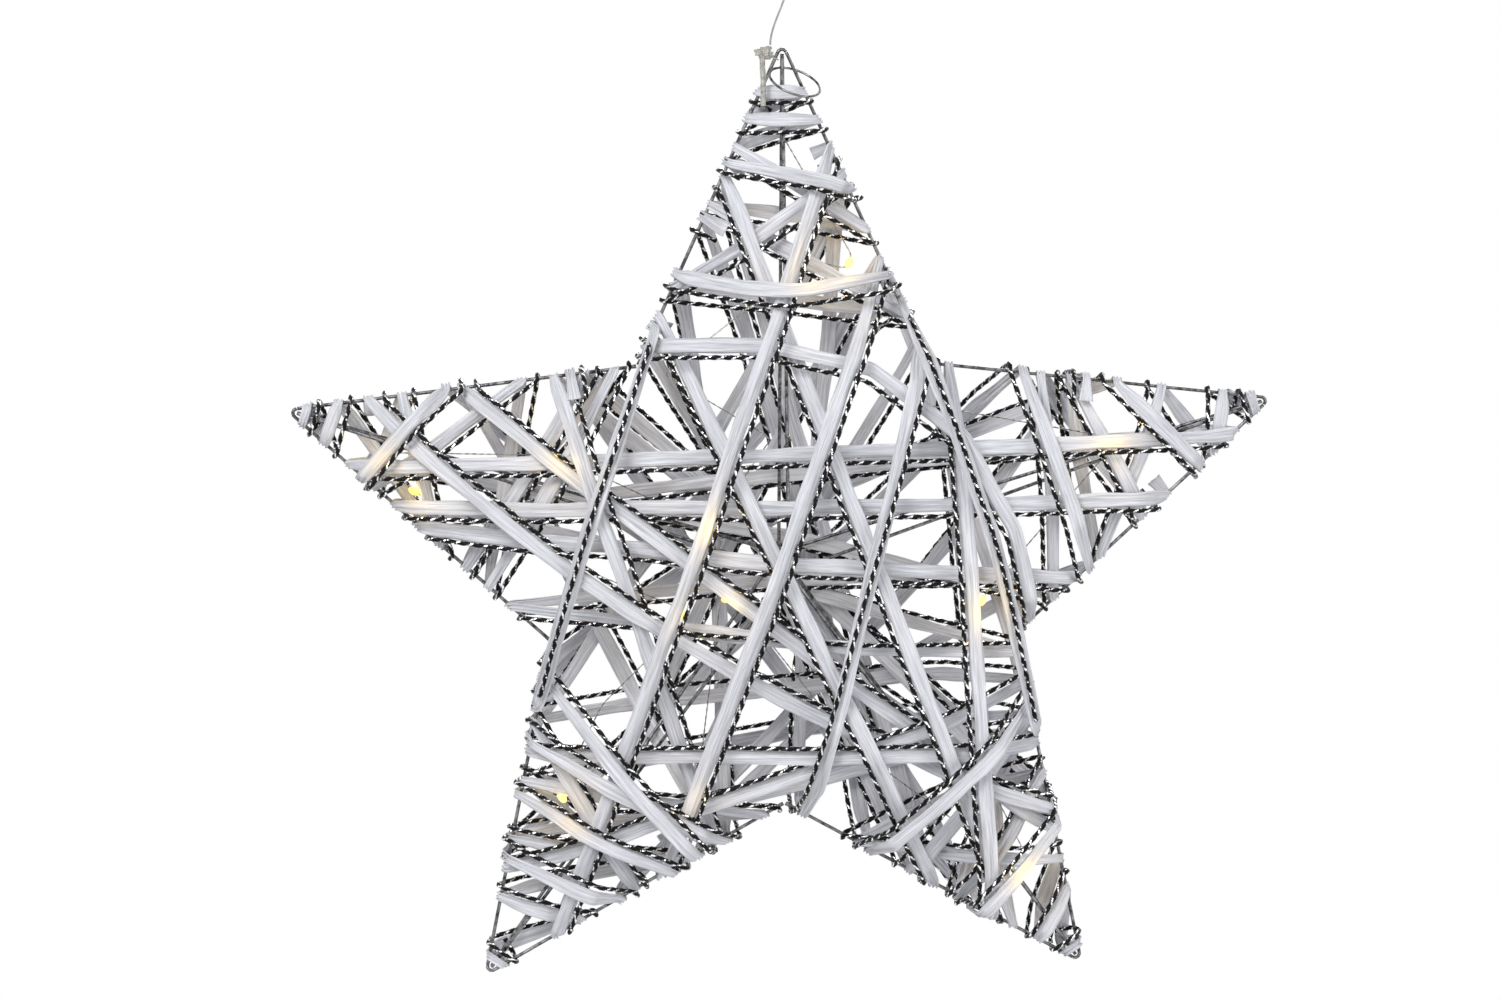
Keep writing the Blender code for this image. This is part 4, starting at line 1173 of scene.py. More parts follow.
@dataclass(frozen=True)
class PaperFinish(Finish):
    """Matte paper ribbon with fibres along it."""

    name: str = "paper_ribbon"
    roughness: float = 0.75
    dark: Triple = (0.50, 0.51, 0.55)
    light: Triple = (0.90, 0.91, 0.97)
    dark_until: float = 0.38
    light_from: float = 0.60
    fine_fibres: tuple[float, float] = (4200.0, 70.0)
    broad_fibres: tuple[float, float] = (900.0, 30.0)
    fine_share: float = 0.55
    fibre_span: tuple[float, float] = (0.3, 0.7)
    roughness_span: tuple[float, float] = (0.6, 0.85)
    sheen: float = 0.15
    bump_depth: float = 0.00012
    seed_stretch: float = 3.0

    def build(self, seed: float) -> bpy.types.Material:
        """Makes the ribbon's material.

        Args:
            seed: shifts its pattern.

        Returns:
            The material.
        """
        made, sheet, shader = self.start()
        way = sheet.moved(sheet.way(), seed, seed * self.seed_stretch, 0.0)
        fine, broad = (
            self.effect(sheet, Effect.FIBRES, Vector=way, Across=across, Along=along)
            for across, along in (self.fine_fibres, self.broad_fibres)
        )
        mixed = sheet.blend(fine, broad, self.fine_share)
        stops = [(self.dark_until, self.dark), (self.light_from, self.light)]
        sheet.feed(shader, "Base_Color", sheet.ramp(mixed, stops))
        rough = sheet.remap(fine, self.fibre_span, self.roughness_span)
        sheet.feed(shader, "Roughness", rough)
        sheet.feed(shader, "Sheen_Weight", self.sheen)
        self.bump(sheet, shader, mixed, self.bump_depth)
        return made


@dataclass(frozen=True)
class TwistFinish(Finish):
    """Twisted metallic cord: bright metal flakes on a dark core, with painted shade in the grooves
    between the plies and a painted highlight along their crests.
    """

    name: str = "silver_cord"
    turns: float = 200.0
    plies: float = 2.0
    # Near black where the plies meet and bright on their crests: painted shade in the grooves and
    # painted highlight on the crests, over the cord's own dark core and bright flakes.
    stops: tuple[tuple[float, Triple], ...] = (
        (0.80, (0.005, 0.005, 0.006)),
        (0.90, (0.14, 0.14, 0.15)),
        (0.96, (0.95, 0.95, 0.96)),
    )
    # How much the ply stripes weigh against the flakes; the stripes paint shade into the grooves
    # and a highlight onto the crests.
    ply_shading_weight: float = 0.45
    flakes: tuple[float, float] = (2.5, 900.0)
    metal_from: tuple[float, float] = (0.80, 0.95)
    metal_span: tuple[float, float] = (0.2, 1.0)
    shine_from: tuple[float, float] = (0.80, 0.97)
    roughness_span: tuple[float, float] = (0.5, 0.22)
    specular: float = 0.15
    bump_depth: float = 0.0002

    def build(self, seed: float) -> bpy.types.Material:
        """Makes the cord's material.

        Args:
            seed: shifts its flakes.

        Returns:
            The material.
        """
        made, sheet, shader = self.start()
        way = sheet.way()
        # One on the plies' crests and zero in the grooves, in phase with the cord's lobes: painted
        # highlight and painted shade.
        raised = self.effect(sheet, Effect.PLIES, Vector=way, Turns=self.turns, Plies=self.plies)
        across, along = self.flakes
        place = sheet.moved(way, 0.0, seed, 0.0)
        flakes = self.effect(sheet, Effect.FIBRES, Vector=place, Across=across, Along=along)
        # The cord's own flakes plus the painted shading of the plies.
        foil_and_ply_shading = sheet.maths("ADD", sheet.maths("MULTIPLY", raised, self.ply_shading_weight), flakes)
        sheet.feed(shader, "Base_Color", sheet.ramp(foil_and_ply_shading, self.stops))
        sheet.feed(shader, "Metallic", sheet.remap(foil_and_ply_shading, self.metal_from, self.metal_span))
        sheet.feed(shader, "Roughness", sheet.remap(foil_and_ply_shading, self.shine_from, self.roughness_span))
        sheet.feed(shader, "Specular_IOR_Level", self.specular)
        self.bump(sheet, shader, foil_and_ply_shading, self.bump_depth)
        return made


@dataclass(frozen=True)
class MottledFinish(Finish):
    """Metal or plastic with a soft change of tone and small unevenness."""

    dark: Triple = (0.3, 0.3, 0.3)
    light: Triple = (0.6, 0.6, 0.6)
    dark_until: float = 0.38
    light_from: float = 0.62
    scale: float = 300.0
    spread: float = 0.12
    tone_span: tuple[float, float] = (0.35, 0.65)
    least_roughness: float = 0.05
    bump_depth: float = 0.00004
    clear: float = 0.0
    coat: float = 0.0
    glow: Triple = (0.0, 0.0, 0.0)
    glow_strength: float = 0.0

    def build(self) -> bpy.types.Material:
        """Makes the material.

        Returns:
            The material.
        """
        made, sheet, shader = self.start()
        place = sheet.add("ShaderNodeTexCoord").outputs["Object"]
        tone = self.effect(sheet, Effect.MOTTLING, Vector=place, Scale=self.scale)
        stops = [(self.dark_until, self.dark), (self.light_from, self.light)]
        sheet.feed(shader, "Base_Color", sheet.ramp(tone, stops))
        smoothest = max(self.roughness - self.spread, self.least_roughness)
        rough = sheet.remap(tone, self.tone_span, (smoothest, self.roughness + self.spread))
        sheet.feed(shader, "Roughness", rough)
        sheet.feed(shader, "Transmission_Weight", self.clear)
        sheet.feed(shader, "Coat_Weight", self.coat)
        if self.glow_strength:
            sheet.feed(shader, "Emission_Color", (*self.glow, 1.0))
            sheet.feed(shader, "Emission_Strength", self.glow_strength)
        self.bump(sheet, shader, tone, self.bump_depth)
        return made


GALVANISED = MottledFinish(
    "galvanised_wire", metallic=1.0, roughness=0.30,
    dark=(0.04, 0.04, 0.045), light=(0.27, 0.27, 0.28), scale=420.0,
)
SILVER_WIRE = MottledFinish(
    "silver_wire", metallic=1.0, roughness=0.28,
    dark=(0.12, 0.12, 0.11), light=(0.45, 0.44, 0.41), scale=500.0,
)
CLEAR_FILM = MottledFinish(
    "clear_film", roughness=0.32, dark=(0.38, 0.37, 0.33), light=(0.66, 0.65, 0.60), scale=500.0,
    clear=0.25, bump_depth=0.0001,
)
CLEAR_LEAD = MottledFinish(
    "clear_lead", roughness=0.30, dark=(0.30, 0.30, 0.29), light=(0.50, 0.49, 0.47), clear=0.2
)
BOX_PLASTIC = MottledFinish(
    "box_plastic", roughness=0.38, dark=(0.74, 0.75, 0.76), light=(0.80, 0.81, 0.82), scale=900.0,
    bump_depth=0.00003, coat=0.1,
)
KNOB_PLASTIC = MottledFinish(
    "knob_plastic", roughness=0.45, dark=(0.05, 0.05, 0.055), light=(0.08, 0.08, 0.085), scale=900.0
)
CELL_WRAP = MottledFinish(
    "cell_wrap", metallic=0.2, roughness=0.30,
    dark=(0.16, 0.20, 0.27), light=(0.21, 0.25, 0.33), scale=120.0, coat=0.4,
)
CONTACT_METAL = MottledFinish(
    "contact_metal", metallic=1.0, roughness=0.25,
    dark=(0.55, 0.54, 0.50), light=(0.75, 0.74, 0.70), scale=350.0,
)
LIGHT_DROP = MottledFinish(
    "light_drop", roughness=0.15, dark=(0.95, 0.72, 0.30), light=(1.0, 0.90, 0.60), scale=600.0,
    clear=0.2, glow=(1.0, 0.64, 0.12),
)


def placed(
    piece: bpy.types.Object,
    body: str,
    slot: str,
    material: bpy.types.Material,
    *nodes: str,
) -> bpy.types.Object:
    """Gives a piece its material and body, and lets it stand for solids.

    Args:
        piece: the piece.
        body: the body that it rides on.
        slot: the record's material slot; not used.
        material: its material.
        nodes: the solids that it replaces.

    Returns:
        The piece.
    """
    piece.data.materials.clear()
    piece.data.materials.append(material)
    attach(piece, body)
    if nodes:
        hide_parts(*nodes)
    LOG.info("%s: %s on %s", piece.name, material.name, body)
    return piece


@dataclass
class WireFrame:
    """The bent and welded wire star."""

    plan: StarPlan
    sides: int = 12
    corner: float = 0.0004
    step: float = 0.0012
    bend_steps: int = 12
    weld_length: float = 0.0022
    weld_swell: float = 0.35
    notch_weld: float = 0.5  # how much of the swelling is at a notch
    fullness: float = 0.97
    wear: float = 0.015
    wear_waves: tuple[float, float] = (0.004, 0.0017)
    nugget_detail: int = 4
    nugget_lumps: float = 900.0
    nugget_lump_height: float = 0.05
    nugget_flattening: float = 0.8
    metal: bpy.types.Material = field(init=False)

    def build(self) -> None:
        """Makes the ten outline wires, the ten ridge wires and the two hub welds."""
        self.metal = GALVANISED.build()
        for arm in Arm:
            self.edges(arm)
            self.ridges(arm)
        for face in Face:
            self.hub(face)

    def wire(
        self, name: str, node: str, points: Sequence[Vector], welds: tuple[float, float]
    ) -> None:
        """Makes one wire with a weld swelling at either end.

        Args:
            name: the piece's name.
            node: the solid that it replaces.
            points: its way.
            welds: how much of the swelling its first and last end have.
        """
        route = Route.rounded(straight_rows(points), self.corner, self.step)
        total = route.distances[-1]

        def profile(distance: np.ndarray, turn: np.ndarray) -> np.ndarray:
            """The wire's radius, swollen at its welds and a little worn.

            Args:
                distance: from the wire's beginning.
                turn: round the wire.

            Returns:
                The radius there.
            """
            first = np.exp(-((distance / self.weld_length) ** 2)) * welds[0]
            last = np.exp(-(((total - distance) / self.weld_length) ** 2)) * welds[1]
            slow, fast = self.wear_waves
            worn = self.wear * np.sin(distance / slow + turn) * np.sin(distance / fast)
            return self.plan.wire_radius * (self.fullness + worn + self.weld_swell * (first + last))

        tube = rolled_tube(name, route, self.sides, profile)
        placed(tube, "star", "galvanised_wire", self.metal, node)

    def edges(self, arm: Arm) -> None:
        """Makes an arm's two outline wires; the first one goes on round the tip.

        Args:
            arm: the arm.
        """
        plan = self.plan
        apex = plan.tip(arm.value)
        bend_middle = apex + unit(-apex) * (plan.bend_radius / math.sin(plan.half_tip_angle))
        for side in (0, 1):
            along = unit(plan.notch(arm.value, side) - apex)
            start = apex + along * (plan.bend_reach + (plan.gap if side == 1 else 0.0))
            points = [apex + along * (plan.edge_length - plan.notch_cut), start]
            if side == 0:
                points += self.bend(start - bend_middle, bend_middle)
            label = f"{arm.label}_{side + 1}"
            way = [plan.world(point) for point in points]
            self.wire(f"outline_wire_{label}", f"outline_{label}", way, (self.notch_weld, 0.0))

    def bend(self, first: np.ndarray, middle: np.ndarray) -> list[np.ndarray]:
        """Goes round a tip's bend.

        Args:
            first: from the bend's middle to where it begins.
            middle: the bend's middle.

        Returns:
            Points along the bend.
        """
        sweep = -(math.pi - 2 * self.plan.half_tip_angle)
        made = []
        for step in range(1, self.bend_steps + 1):
            turn = sweep * step / self.bend_steps
            turned = flat(
                first[0] * math.cos(turn) - first[1] * math.sin(turn),
                first[0] * math.sin(turn) + first[1] * math.cos(turn),
            )
            made.append(middle + turned)
        return made

    def ridges(self, arm: Arm) -> None:
        """Makes an arm's ridge wires of the front and the back.

        Args:
            arm: the arm.
        """
        out = unit(self.plan.tip(arm.value))
        for face in Face:
            ends = [
                self.plan.world(out * radius, face.value * depth)
                for radius, depth in self.plan.ridge_ends()
            ]
            label = f"{face.name.lower()}_{arm.label}"
            self.wire(f"ridge_wire_{label}", f"ridge_{label}", ends, (0.0, 0.0))

    def hub(self, face: Face) -> None:
        """Makes the weld nugget where five ridge wires meet.

        Args:
            face: the face that it is on.
        """
        bm = bmesh.new()
        detail, radius = self.nugget_detail, self.plan.nugget_radius
        bmesh.ops.create_icosphere(bm, subdivisions=detail, radius=radius)
        height = self.nugget_lump_height
        for vert in bm.verts:
            lump = noise.noise(vert.co * self.nugget_lumps + Vector((face.value, 0, 0)))
            vert.co *= 1 - height + height * lump
        bmesh.ops.scale(bm, vec=(1.0, self.nugget_flattening, 1.0), verts=bm.verts)
        centre = self.plan.world(flat(0, 0), face.value * self.plan.hub_depth)
        bmesh.ops.translate(bm, vec=centre, verts=bm.verts)
        label = face.name.lower()
        nugget = finished_mesh(f"hub_weld_{label}", bm)
        placed(nugget, "star", "galvanised_wire", self.metal, f"hub_{label}")


@dataclass
class PaperRibbon:
    """A crinkled paper ribbon along a laid strand."""

    strand: Strand
    seed: float
    corner: float = 0.0022
    step: float = 0.0016
    columns: int = 9
    thickness: float = 0.00030
    width: float = 0.0060
    width_mean: float = 0.97
    width_change: float = 0.12
    width_wave: float = 0.016
    width_seed: float = 9.1
    crown: float = 0.00014
    pleat: float = 0.00045
    pleats: float = 2.5
    tilt: float = 0.22
    tilt_wave: float = 0.045
    crease: float = 0.00055
    crease_wave: float = 0.021
    crease_seed: float = 20.0
    crease_seed_step: float = 0.9

    def build(self) -> None:
        """Makes the ribbon and dresses it."""
        label = self.strand.label
        route = Route.rounded(self.strand.rows(), self.corner, self.step)
        route.sway()
        across = np.linspace(-1.0, 1.0, self.columns)
        rings = self.sections(route, across)
        turns = across * self.width / 2
        ribbon = bent_grid(f"paper_ribbon_{label}", rings, route.distances, turns, closed=False)
        paper = ribbon.modifiers.new("paper", "SOLIDIFY")
        paper.thickness = self.thickness
        paper.offset = 0.0
        nodes = [f"ribbon_{label}"] if label in WINDING_SLOTS else []
        placed(ribbon, "star", "paper_ribbon", PaperFinish().build(self.seed), *nodes)

    def sections(self, route: Route, across: np.ndarray) -> np.ndarray:
        """Tilts, domes, pleats and creases the ribbon's sections.

        Args:
            route: the ribbon's way.
            across: each column's place across it, from -1 to 1.

        Returns:
            The sections' points, one row a section.
        """
        _, side, upright = route.frames()
        marks = route.distances
        tilt = wandering(marks, self.tilt_wave, self.seed) * self.tilt
        change = wandering(marks, self.width_wave, self.seed + self.width_seed)
        width = self.width * (self.width_mean + self.width_change * change)
        half = width / 2 * route.shares
        folded = np.clip((1 - route.shares) / (1 - self.strand.rule.edge_width_share), 0, 1)
        leaning = side * np.cos(tilt)[:, None] + upright * np.sin(tilt)[:, None]
        standing = upright * np.cos(tilt)[:, None] - side * np.sin(tilt)[:, None]
        rings = np.zeros((len(marks), self.columns, 3))
        for k, u in enumerate(across):
            seed = self.seed + self.crease_seed + k * self.crease_seed_step
            curl = wandering(marks, self.crease_wave, seed) * self.crease
            lift = self.crown * (1 - u * u) * (1 - folded)
            lift = lift + folded * self.pleat * math.cos(math.pi * self.pleats * u) + curl
            rings[:, k] = route.points + leaning * (half * u)[:, None] + standing * lift[:, None]
        return rings


@dataclass
class SilverCord:
    """A twisted metallic cord along a laid strand."""

    strand: Strand
    seed: float
    corner: float = 0.0020
    step: float = 0.00062
    sides: int = 8
    radius: float = 0.00108
    groove: float = 0.14
    pitch: float = 0.0058

    def build(self) -> None:
        """Makes the cord and dresses it."""
        label = self.strand.label
        route = Route.rounded(self.strand.rows(), self.corner, self.step)
        route.sway()
        profile = twisted(self.radius, self.groove, self.pitch)
        cord = rolled_tube(f"twisted_cord_{label}", route, self.sides, profile)
        # The stripes turn with the plies' lobes, so the painted highlight stays on the crests and
        # the painted shade in the grooves.
        finish = TwistFinish(turns=1 / self.pitch / 2)
        nodes = [f"silver_cord_{label}"] if label in WINDING_SLOTS else []
        placed(cord, "star", "silver_cord", finish.build(self.seed), *nodes)


@dataclass
class FairyLights:
    """The fine wire with its glowing drops, inside the star."""

    plan: StarPlan
    start: Sequence[Vector]
    front: HeightMap
    depth_share: float = 0.55
    wire_radius: float = 0.00030
    wire_groove: float = 0.2
    wire_pitch: float = 0.0030
    wire_corner: float = 0.003
    wire_step: float = 0.0007
    wire_sides: int = 6
    drop_radius: float = 0.0016
    drop_length: float = 0.0050
    drop_taper: float = 0.25
    drop_grid: tuple[int, int] = (20, 14)
    glow_strength: float = 1.9
    spill_colour: Triple = (1.0, 0.62, 0.06)
    spill_energy: float = 0.0022
    spill_before: float = 0.0045
    spill_softness: float = 0.002

    def build(self) -> None:
        """Makes the drops, their spill of light and the wire through them."""
        route = []
        for x, y, brightness in STRING_ROUTE:
            point = self.plan.picture_point(x, y)
            depth = -self.depth_share * self.plan.face_height(point)
            route.append((self.plan.world(point, depth), brightness))
        points = list(self.start)
        count = 0
        for i, (place, brightness) in enumerate(route):
            if not brightness:
                points.append(place)
                continue
            after = route[min(i + 1, len(route) - 1)][0]
            direction = (place - points[-1]).normalized() + (after - place).normalized()
            direction.normalize()
            half = direction * (self.drop_length / 2 + self.wire_radius)
            points += [place - half, place + half]
            count += 1
            self.drop(count, place, direction, brightness)
            self.spill(count, place, brightness)
        self.wire(points)

    def drop(self, number: int, place: Vector, direction: Vector, brightness: float) -> None:
        """Makes one clear drop with its glow.

        Args:
            number: the drop's number.
            place: its middle.
            direction: the way of the wire through it.
            brightness: how brightly it glows, from 0 to 1.
        """
        bm = bmesh.new()
        sides, rings = self.drop_grid
        bmesh.ops.create_uvsphere(bm, u_segments=sides, v_segments=rings, radius=1.0)
        for vert in bm.verts:
            squeeze = 1.0 - self.drop_taper * vert.co.z**4
            vert.co.x *= self.drop_radius * squeeze
            vert.co.y *= self.drop_radius * squeeze
            vert.co.z *= self.drop_length / 2
        turn = direction.to_track_quat("Z", "Y").to_matrix().to_4x4()
        bmesh.ops.transform(bm, matrix=Matrix.Translation(place) @ turn, verts=bm.verts)
        name = f"light_drop_{number:02d}"
        finish = replace(LIGHT_DROP, name=name, glow_strength=self.glow_strength * brightness)
        drop = finished_mesh(name, bm)
        placed(drop, "star", "light_drop", finish.build(), f"lamp_{number:02d}")

    def spill(self, number: int, place: Vector, brightness: float) -> None:
        """Puts small warm lights behind and before the strands at a drop, which let them glow.

        Args:
            number: the drop's number.
            place: its middle.
            brightness: how brightly it glows, from 0 to 1.
        """
        light = bpy.data.lights.new(f"spill_{number:02d}", "POINT")
        light.energy = self.spill_energy * brightness
        light.color = self.spill_colour
        light.shadow_soft_size = self.spill_softness
        top = self.front.over(flat(place.x, place.z - self.plan.middle_height), self.spill_before)
        for side, y in (("inside", place.y), ("outside", -top)):
            lamp = bpy.data.objects.new(f"spill_{side}_{number:02d}", light)
            lamp.location = (place.x, y - self.spill_before, place.z)
            bpy.context.scene.collection.objects.link(lamp)

    def wire(self, points: Sequence[Vector]) -> None:
        """Makes the fine two-core wire.

        Args:
            points: its way.
        """
        route = Route.rounded(straight_rows(points), self.wire_corner, self.wire_step)
        profile = twisted(self.wire_radius, self.wire_groove, self.wire_pitch)
        wire = rolled_tube("fine_wire", route, self.wire_sides, profile)
        placed(wire, "star", "silver_wire", SILVER_WIRE.build(), "light_string")


@dataclass
class Hanger:
    """The lead from the box, the film tie, its loop and the clear sleeve."""

    plan: StarPlan
    front: HeightMap
    lead_radius: float = 0.0004
    lead_in_box: float = 0.0010
    lead_straight: float = 0.0060
    lead_steps: int = 12
    lead_roundness: int = 3
    box_bottom: float = -0.0675
    sleeve_radius: float = 0.0010
    sleeve_look_radius: float = 0.0012
    sleeve_reach_up: float = 0.0022
    sleeve_aside: float = 0.0080
    sleeve_top: float = 0.0072
    sleeve_bend: float = 0.0160
    sleeve_end: float = 0.0250
    sleeve_bend_steps: int = 5
    sleeve_corner: float = 0.0015
    sleeve_step: float = 0.0005
    sleeve_sides: int = 16
    sleeve_fullness: float = 0.93
    sleeve_flattening: float = 0.04
    sleeve_wrinkle: float = 0.05
    sleeve_wrinkle_waves: tuple[float, float] = (0.0009, 0.0031)
    string_dive: float = 0.0007
    tie_size: Triple = (0.0070, 0.0034, 0.0042)
    tie_below: float = 0.0033
    tie_grows: Triple = (-0.0013, 0.0, -0.0014)  # past the solid, on the side of each sign
    tie_detail: int = 5
    tie_core: float = 0.50
    tie_crease: float = 0.16
    tie_crease_scale: float = 1.7
    # The fractal's fall in height and in size from octave to octave, octaves, offset and gain.
    tie_crease_fractal: tuple[float, float, int, float, float] = (0.8, 2.3, 4, 1.0, 2.0)
    tie_lump: float = 0.42
    tie_lump_scale: float = 2.4
    # Where the knot's film stands out: the direction, how narrow it is and how far it goes.
    tie_lobes: tuple[tuple[Triple, int, float], ...] = (
        ((-0.86, -0.20, 0.47), 14, 0.55),
        ((0.75, 0.0, -0.66), 4, 0.35),
        ((0.50, 0.0, 0.87), 8, 0.50),
    )
    loop_radius: float = 0.0003
    loop_below: float = 0.0062
    loop_grid: tuple[int, int] = (10, 32)

    def build(self) -> list[Vector]:
        """Makes the four pieces.

        Returns:
            The points where the light string comes out of the sleeve and turns in.
        """
        plan = self.plan
        film = CLEAR_FILM.build()
        x = plan.tip(0)[0]
        edge = plan.bend_reach * math.sin(plan.half_tip_angle) + plan.wire_radius + 2 * plan.gap
        middle = Vector((x - edge - self.tie_size[0] / 2, 0.0, plan.tip_height - self.tie_below))
        self.tie(middle, film)
        self.loop(film)
        self.lead(middle + Vector((self.tie_size[0] / 4, 0.0, self.tie_size[2] / 2 + plan.gap)))
        points = self.sleeve_points()
        self.sleeve(points, film)
        below = points[-1] - Vector((0.0, 0.0, plan.gap))
        turn = below - Vector((0.0, 0.0, self.string_dive))
        inside = Vector((below.x + self.sleeve_aside / 4, -plan.wire_radius, turn.z))
        return [below, turn, inside]

    def tie(self, middle: Vector, film: bpy.types.Material) -> None:
        """Makes the knot of crumpled film beside the tip.

        Args:
            middle: the middle of the solid that it replaces.
            film: its material.
        """
        bm = bmesh.new()
        bmesh.ops.create_icosphere(bm, subdivisions=self.tie_detail, radius=1.0)
        for vert in bm.verts:
            crease = noise.ridged_multi_fractal(
                vert.co * self.tie_crease_scale, *self.tie_crease_fractal
            )
            lump = noise.noise(vert.co * self.tie_lump_scale)
            reach = self.tie_core + self.tie_crease * crease + self.tie_lump * lump
            for lobe, narrow, far in self.tie_lobes:
                reach += far * max(0.0, vert.co.dot(Vector(lobe))) ** narrow
            vert.co *= reach
        for axis, (whole, more) in enumerate(zip(self.tie_size, self.tie_grows)):
            low = min(vert.co[axis] for vert in bm.verts)
            high = max(vert.co[axis] for vert in bm.verts)
            for vert in bm.verts:
                share = (vert.co[axis] - low) / (high - low) - 0.5
                vert.co[axis] = middle[axis] + more / 2 + share * (whole + abs(more))
        placed(finished_mesh("film_tie", bm), "star", "clear_plastic", film, "tie")

    def loop(self, film: bpy.types.Material) -> None:
        """Makes the small loop of film round the left outline wire.

        Args:
            film: its material.
        """
        plan = self.plan
        down = unit(plan.notch(0, 0) - plan.tip(0))
        middle = plan.world(plan.tip(0) + down * (self.loop_below / math.cos(plan.half_tip_angle)))
        turn = Vector((down[0], 0.0, down[1])).to_track_quat("Z", "Y").to_matrix().to_4x4()
        reach = plan.wire_radius + plan.gap + self.loop_radius
        bm = wire_ring(reach, self.loop_radius, *self.loop_grid)
        bmesh.ops.transform(bm, matrix=Matrix.Translation(middle) @ turn, verts=bm.verts)
        placed(finished_mesh("film_loop", bm), "star", "clear_plastic", film, "tie_loop")

    def lead(self, end: Vector) -> None:
        """Makes the thin lead that holds the star, taut between the box and the tie.

        Args:
            end: where it meets the tie.
        """
        low = self.box_bottom - self.lead_straight
        points = [
            Vector((0.0, 0.0, self.box_bottom + self.lead_in_box)),
            Vector((0.0, 0.0, self.box_bottom)),
        ]
        for step in range(self.lead_steps + 1):
            share = step / self.lead_steps
            points.append(Vector((end.x * eased(share), 0.0, low + (end.z - low) * share)))
        curve = bpy.data.curves.new("hanging_lead", "CURVE")
        curve.dimensions = "3D"
        curve.bevel_depth = self.lead_radius
        curve.bevel_resolution = self.lead_roundness
        curve.use_fill_caps = True
        spline = curve.splines.new("POLY")
        spline.points.add(len(points) - 1)
        for slot, point in zip(spline.points, points):
            slot.co = (*point, 1.0)
        spline.use_smooth = True
        lead = bpy.data.objects.new("hanging_lead", curve)
        bpy.context.scene.collection.objects.link(lead)
        placed(lead, "star", "clear_plastic", CLEAR_LEAD.build(), "lead")

    def sleeve_points(self) -> list[Vector]:
        """Leads the sleeve down from the tie and over the top arm's first turns.

        Returns:
            The points of its way.
        """
        plan, steps = self.plan, self.sleeve_bend_steps
        x = plan.tip(0)[0] - self.sleeve_aside
        low = plan.wire_radius + self.sleeve_radius + plan.gap
        fall = self.sleeve_end - self.sleeve_bend
        resting = [
            self.front.over(
                flat(x, plan.tip_radius - self.sleeve_bend - fall * step / steps),
                self.sleeve_radius,
            )
            for step in range(steps + 1)
        ]
        high = max(resting) + self.sleeve_radius + plan.gap
        points = []
        for step in range(steps + 1):
            share = step / steps
            depth = low + (high - low) * eased(share)
            below = self.sleeve_top + (self.sleeve_bend - self.sleeve_top) * share
            points.append(Vector((x, -depth, plan.tip_height - below)))
        points.append(Vector((x, -high, plan.tip_height - self.sleeve_end)))
        return points

    def sleeve(self, points: Sequence[Vector], film: bpy.types.Material) -> None:
        """Makes the clear sleeve over the joint of lead and light string.

        Args:
            points: its way.
            film: its material.
        """
        top = points[0] + Vector((0.0, 0.0, self.sleeve_reach_up))
        route = Route.rounded(
            straight_rows([top, *points]), self.sleeve_corner, self.sleeve_step
        )

        def profile(distance: np.ndarray, turn: np.ndarray) -> np.ndarray:
            """The sleeve's radius, a little flattened and wrinkled.

            Args:
                distance: from the sleeve's beginning.
                turn: round the sleeve.

            Returns:
                The radius there.
            """
            fast, slow = self.sleeve_wrinkle_waves
            wrinkle = np.sin(distance / fast + np.cos(turn)) * np.sin(distance / slow)
            oval = self.sleeve_flattening * np.sin(turn * 2)
            round_share = self.sleeve_fullness + self.sleeve_wrinkle * wrinkle
            return self.sleeve_look_radius * (round_share + oval)

        sleeve = rolled_tube("clear_sleeve", route, self.sleeve_sides, profile)
        placed(sleeve, "star", "clear_plastic", film, "sleeve")


@dataclass
class SlackRing:
    """The thin wire ring that hangs round two wires below the top tip."""

    plan: StarPlan
    radius: float = 0.0106
    wire_radius: float = 0.00052
    grid: tuple[int, int] = (12, 96)
    droop: float = math.radians(28.0)
    lean: float = math.radians(14.0)
    yaw: float = math.radians(8.0)
    along: float = 0.0045
    back: float = 0.0015
    below: float = 0.0105

    def build(self) -> None:
        """Makes the ring where it rests."""
        x, z = self.plan.tip(0)[0] + self.along, self.plan.tip_height - self.below
        lie = Matrix.Translation((x, self.back, z)) @ Matrix.Rotation(self.yaw, 4, "Z")
        lie = lie @ Matrix.Rotation(self.lean, 4, "Y") @ Matrix.Rotation(self.droop, 4, "X")
        lie = lie @ Matrix.Translation((0.0, -self.radius, 0.0))
        bm = wire_ring(self.radius, self.wire_radius, *self.grid)
        bmesh.ops.transform(bm, matrix=lie, verts=bm.verts)
        ring = finished_mesh("slack_ring", bm)
        placed(ring, "ring", "galvanised_wire", GALVANISED.build(), "ring")


@dataclass
class BatteryBox:
    """The box above the picture: its solids keep their shape and get their finishes."""

    nodes: dict[str, tuple[str, MottledFinish]] = field(
        default_factory=lambda: {
            "battery_case": ("box_plastic", BOX_PLASTIC),
            "battery_cover": ("box_plastic", BOX_PLASTIC),
            "switch_knob": ("box_plastic", KNOB_PLASTIC),
            "cell_left": ("cell_body", CELL_WRAP),
            "cell_right": ("cell_body", CELL_WRAP),
            "terminal_left": ("contact_metal", CONTACT_METAL),
            "terminal_right": ("contact_metal", CONTACT_METAL),
            "bridge_plate": ("contact_metal", CONTACT_METAL),
        }
    )

    def build(self) -> None:
        """Dresses each solid of the box."""
        made: dict[str, bpy.types.Material] = {}
        for node, (slot, finish) in self.nodes.items():
            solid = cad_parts[node]
            material = made.get(finish.name) or finish.build()
            made[finish.name] = material
            solid.data.materials.clear()
            solid.data.materials.append(material)
            LOG.info("%s: %s", node, material.name)


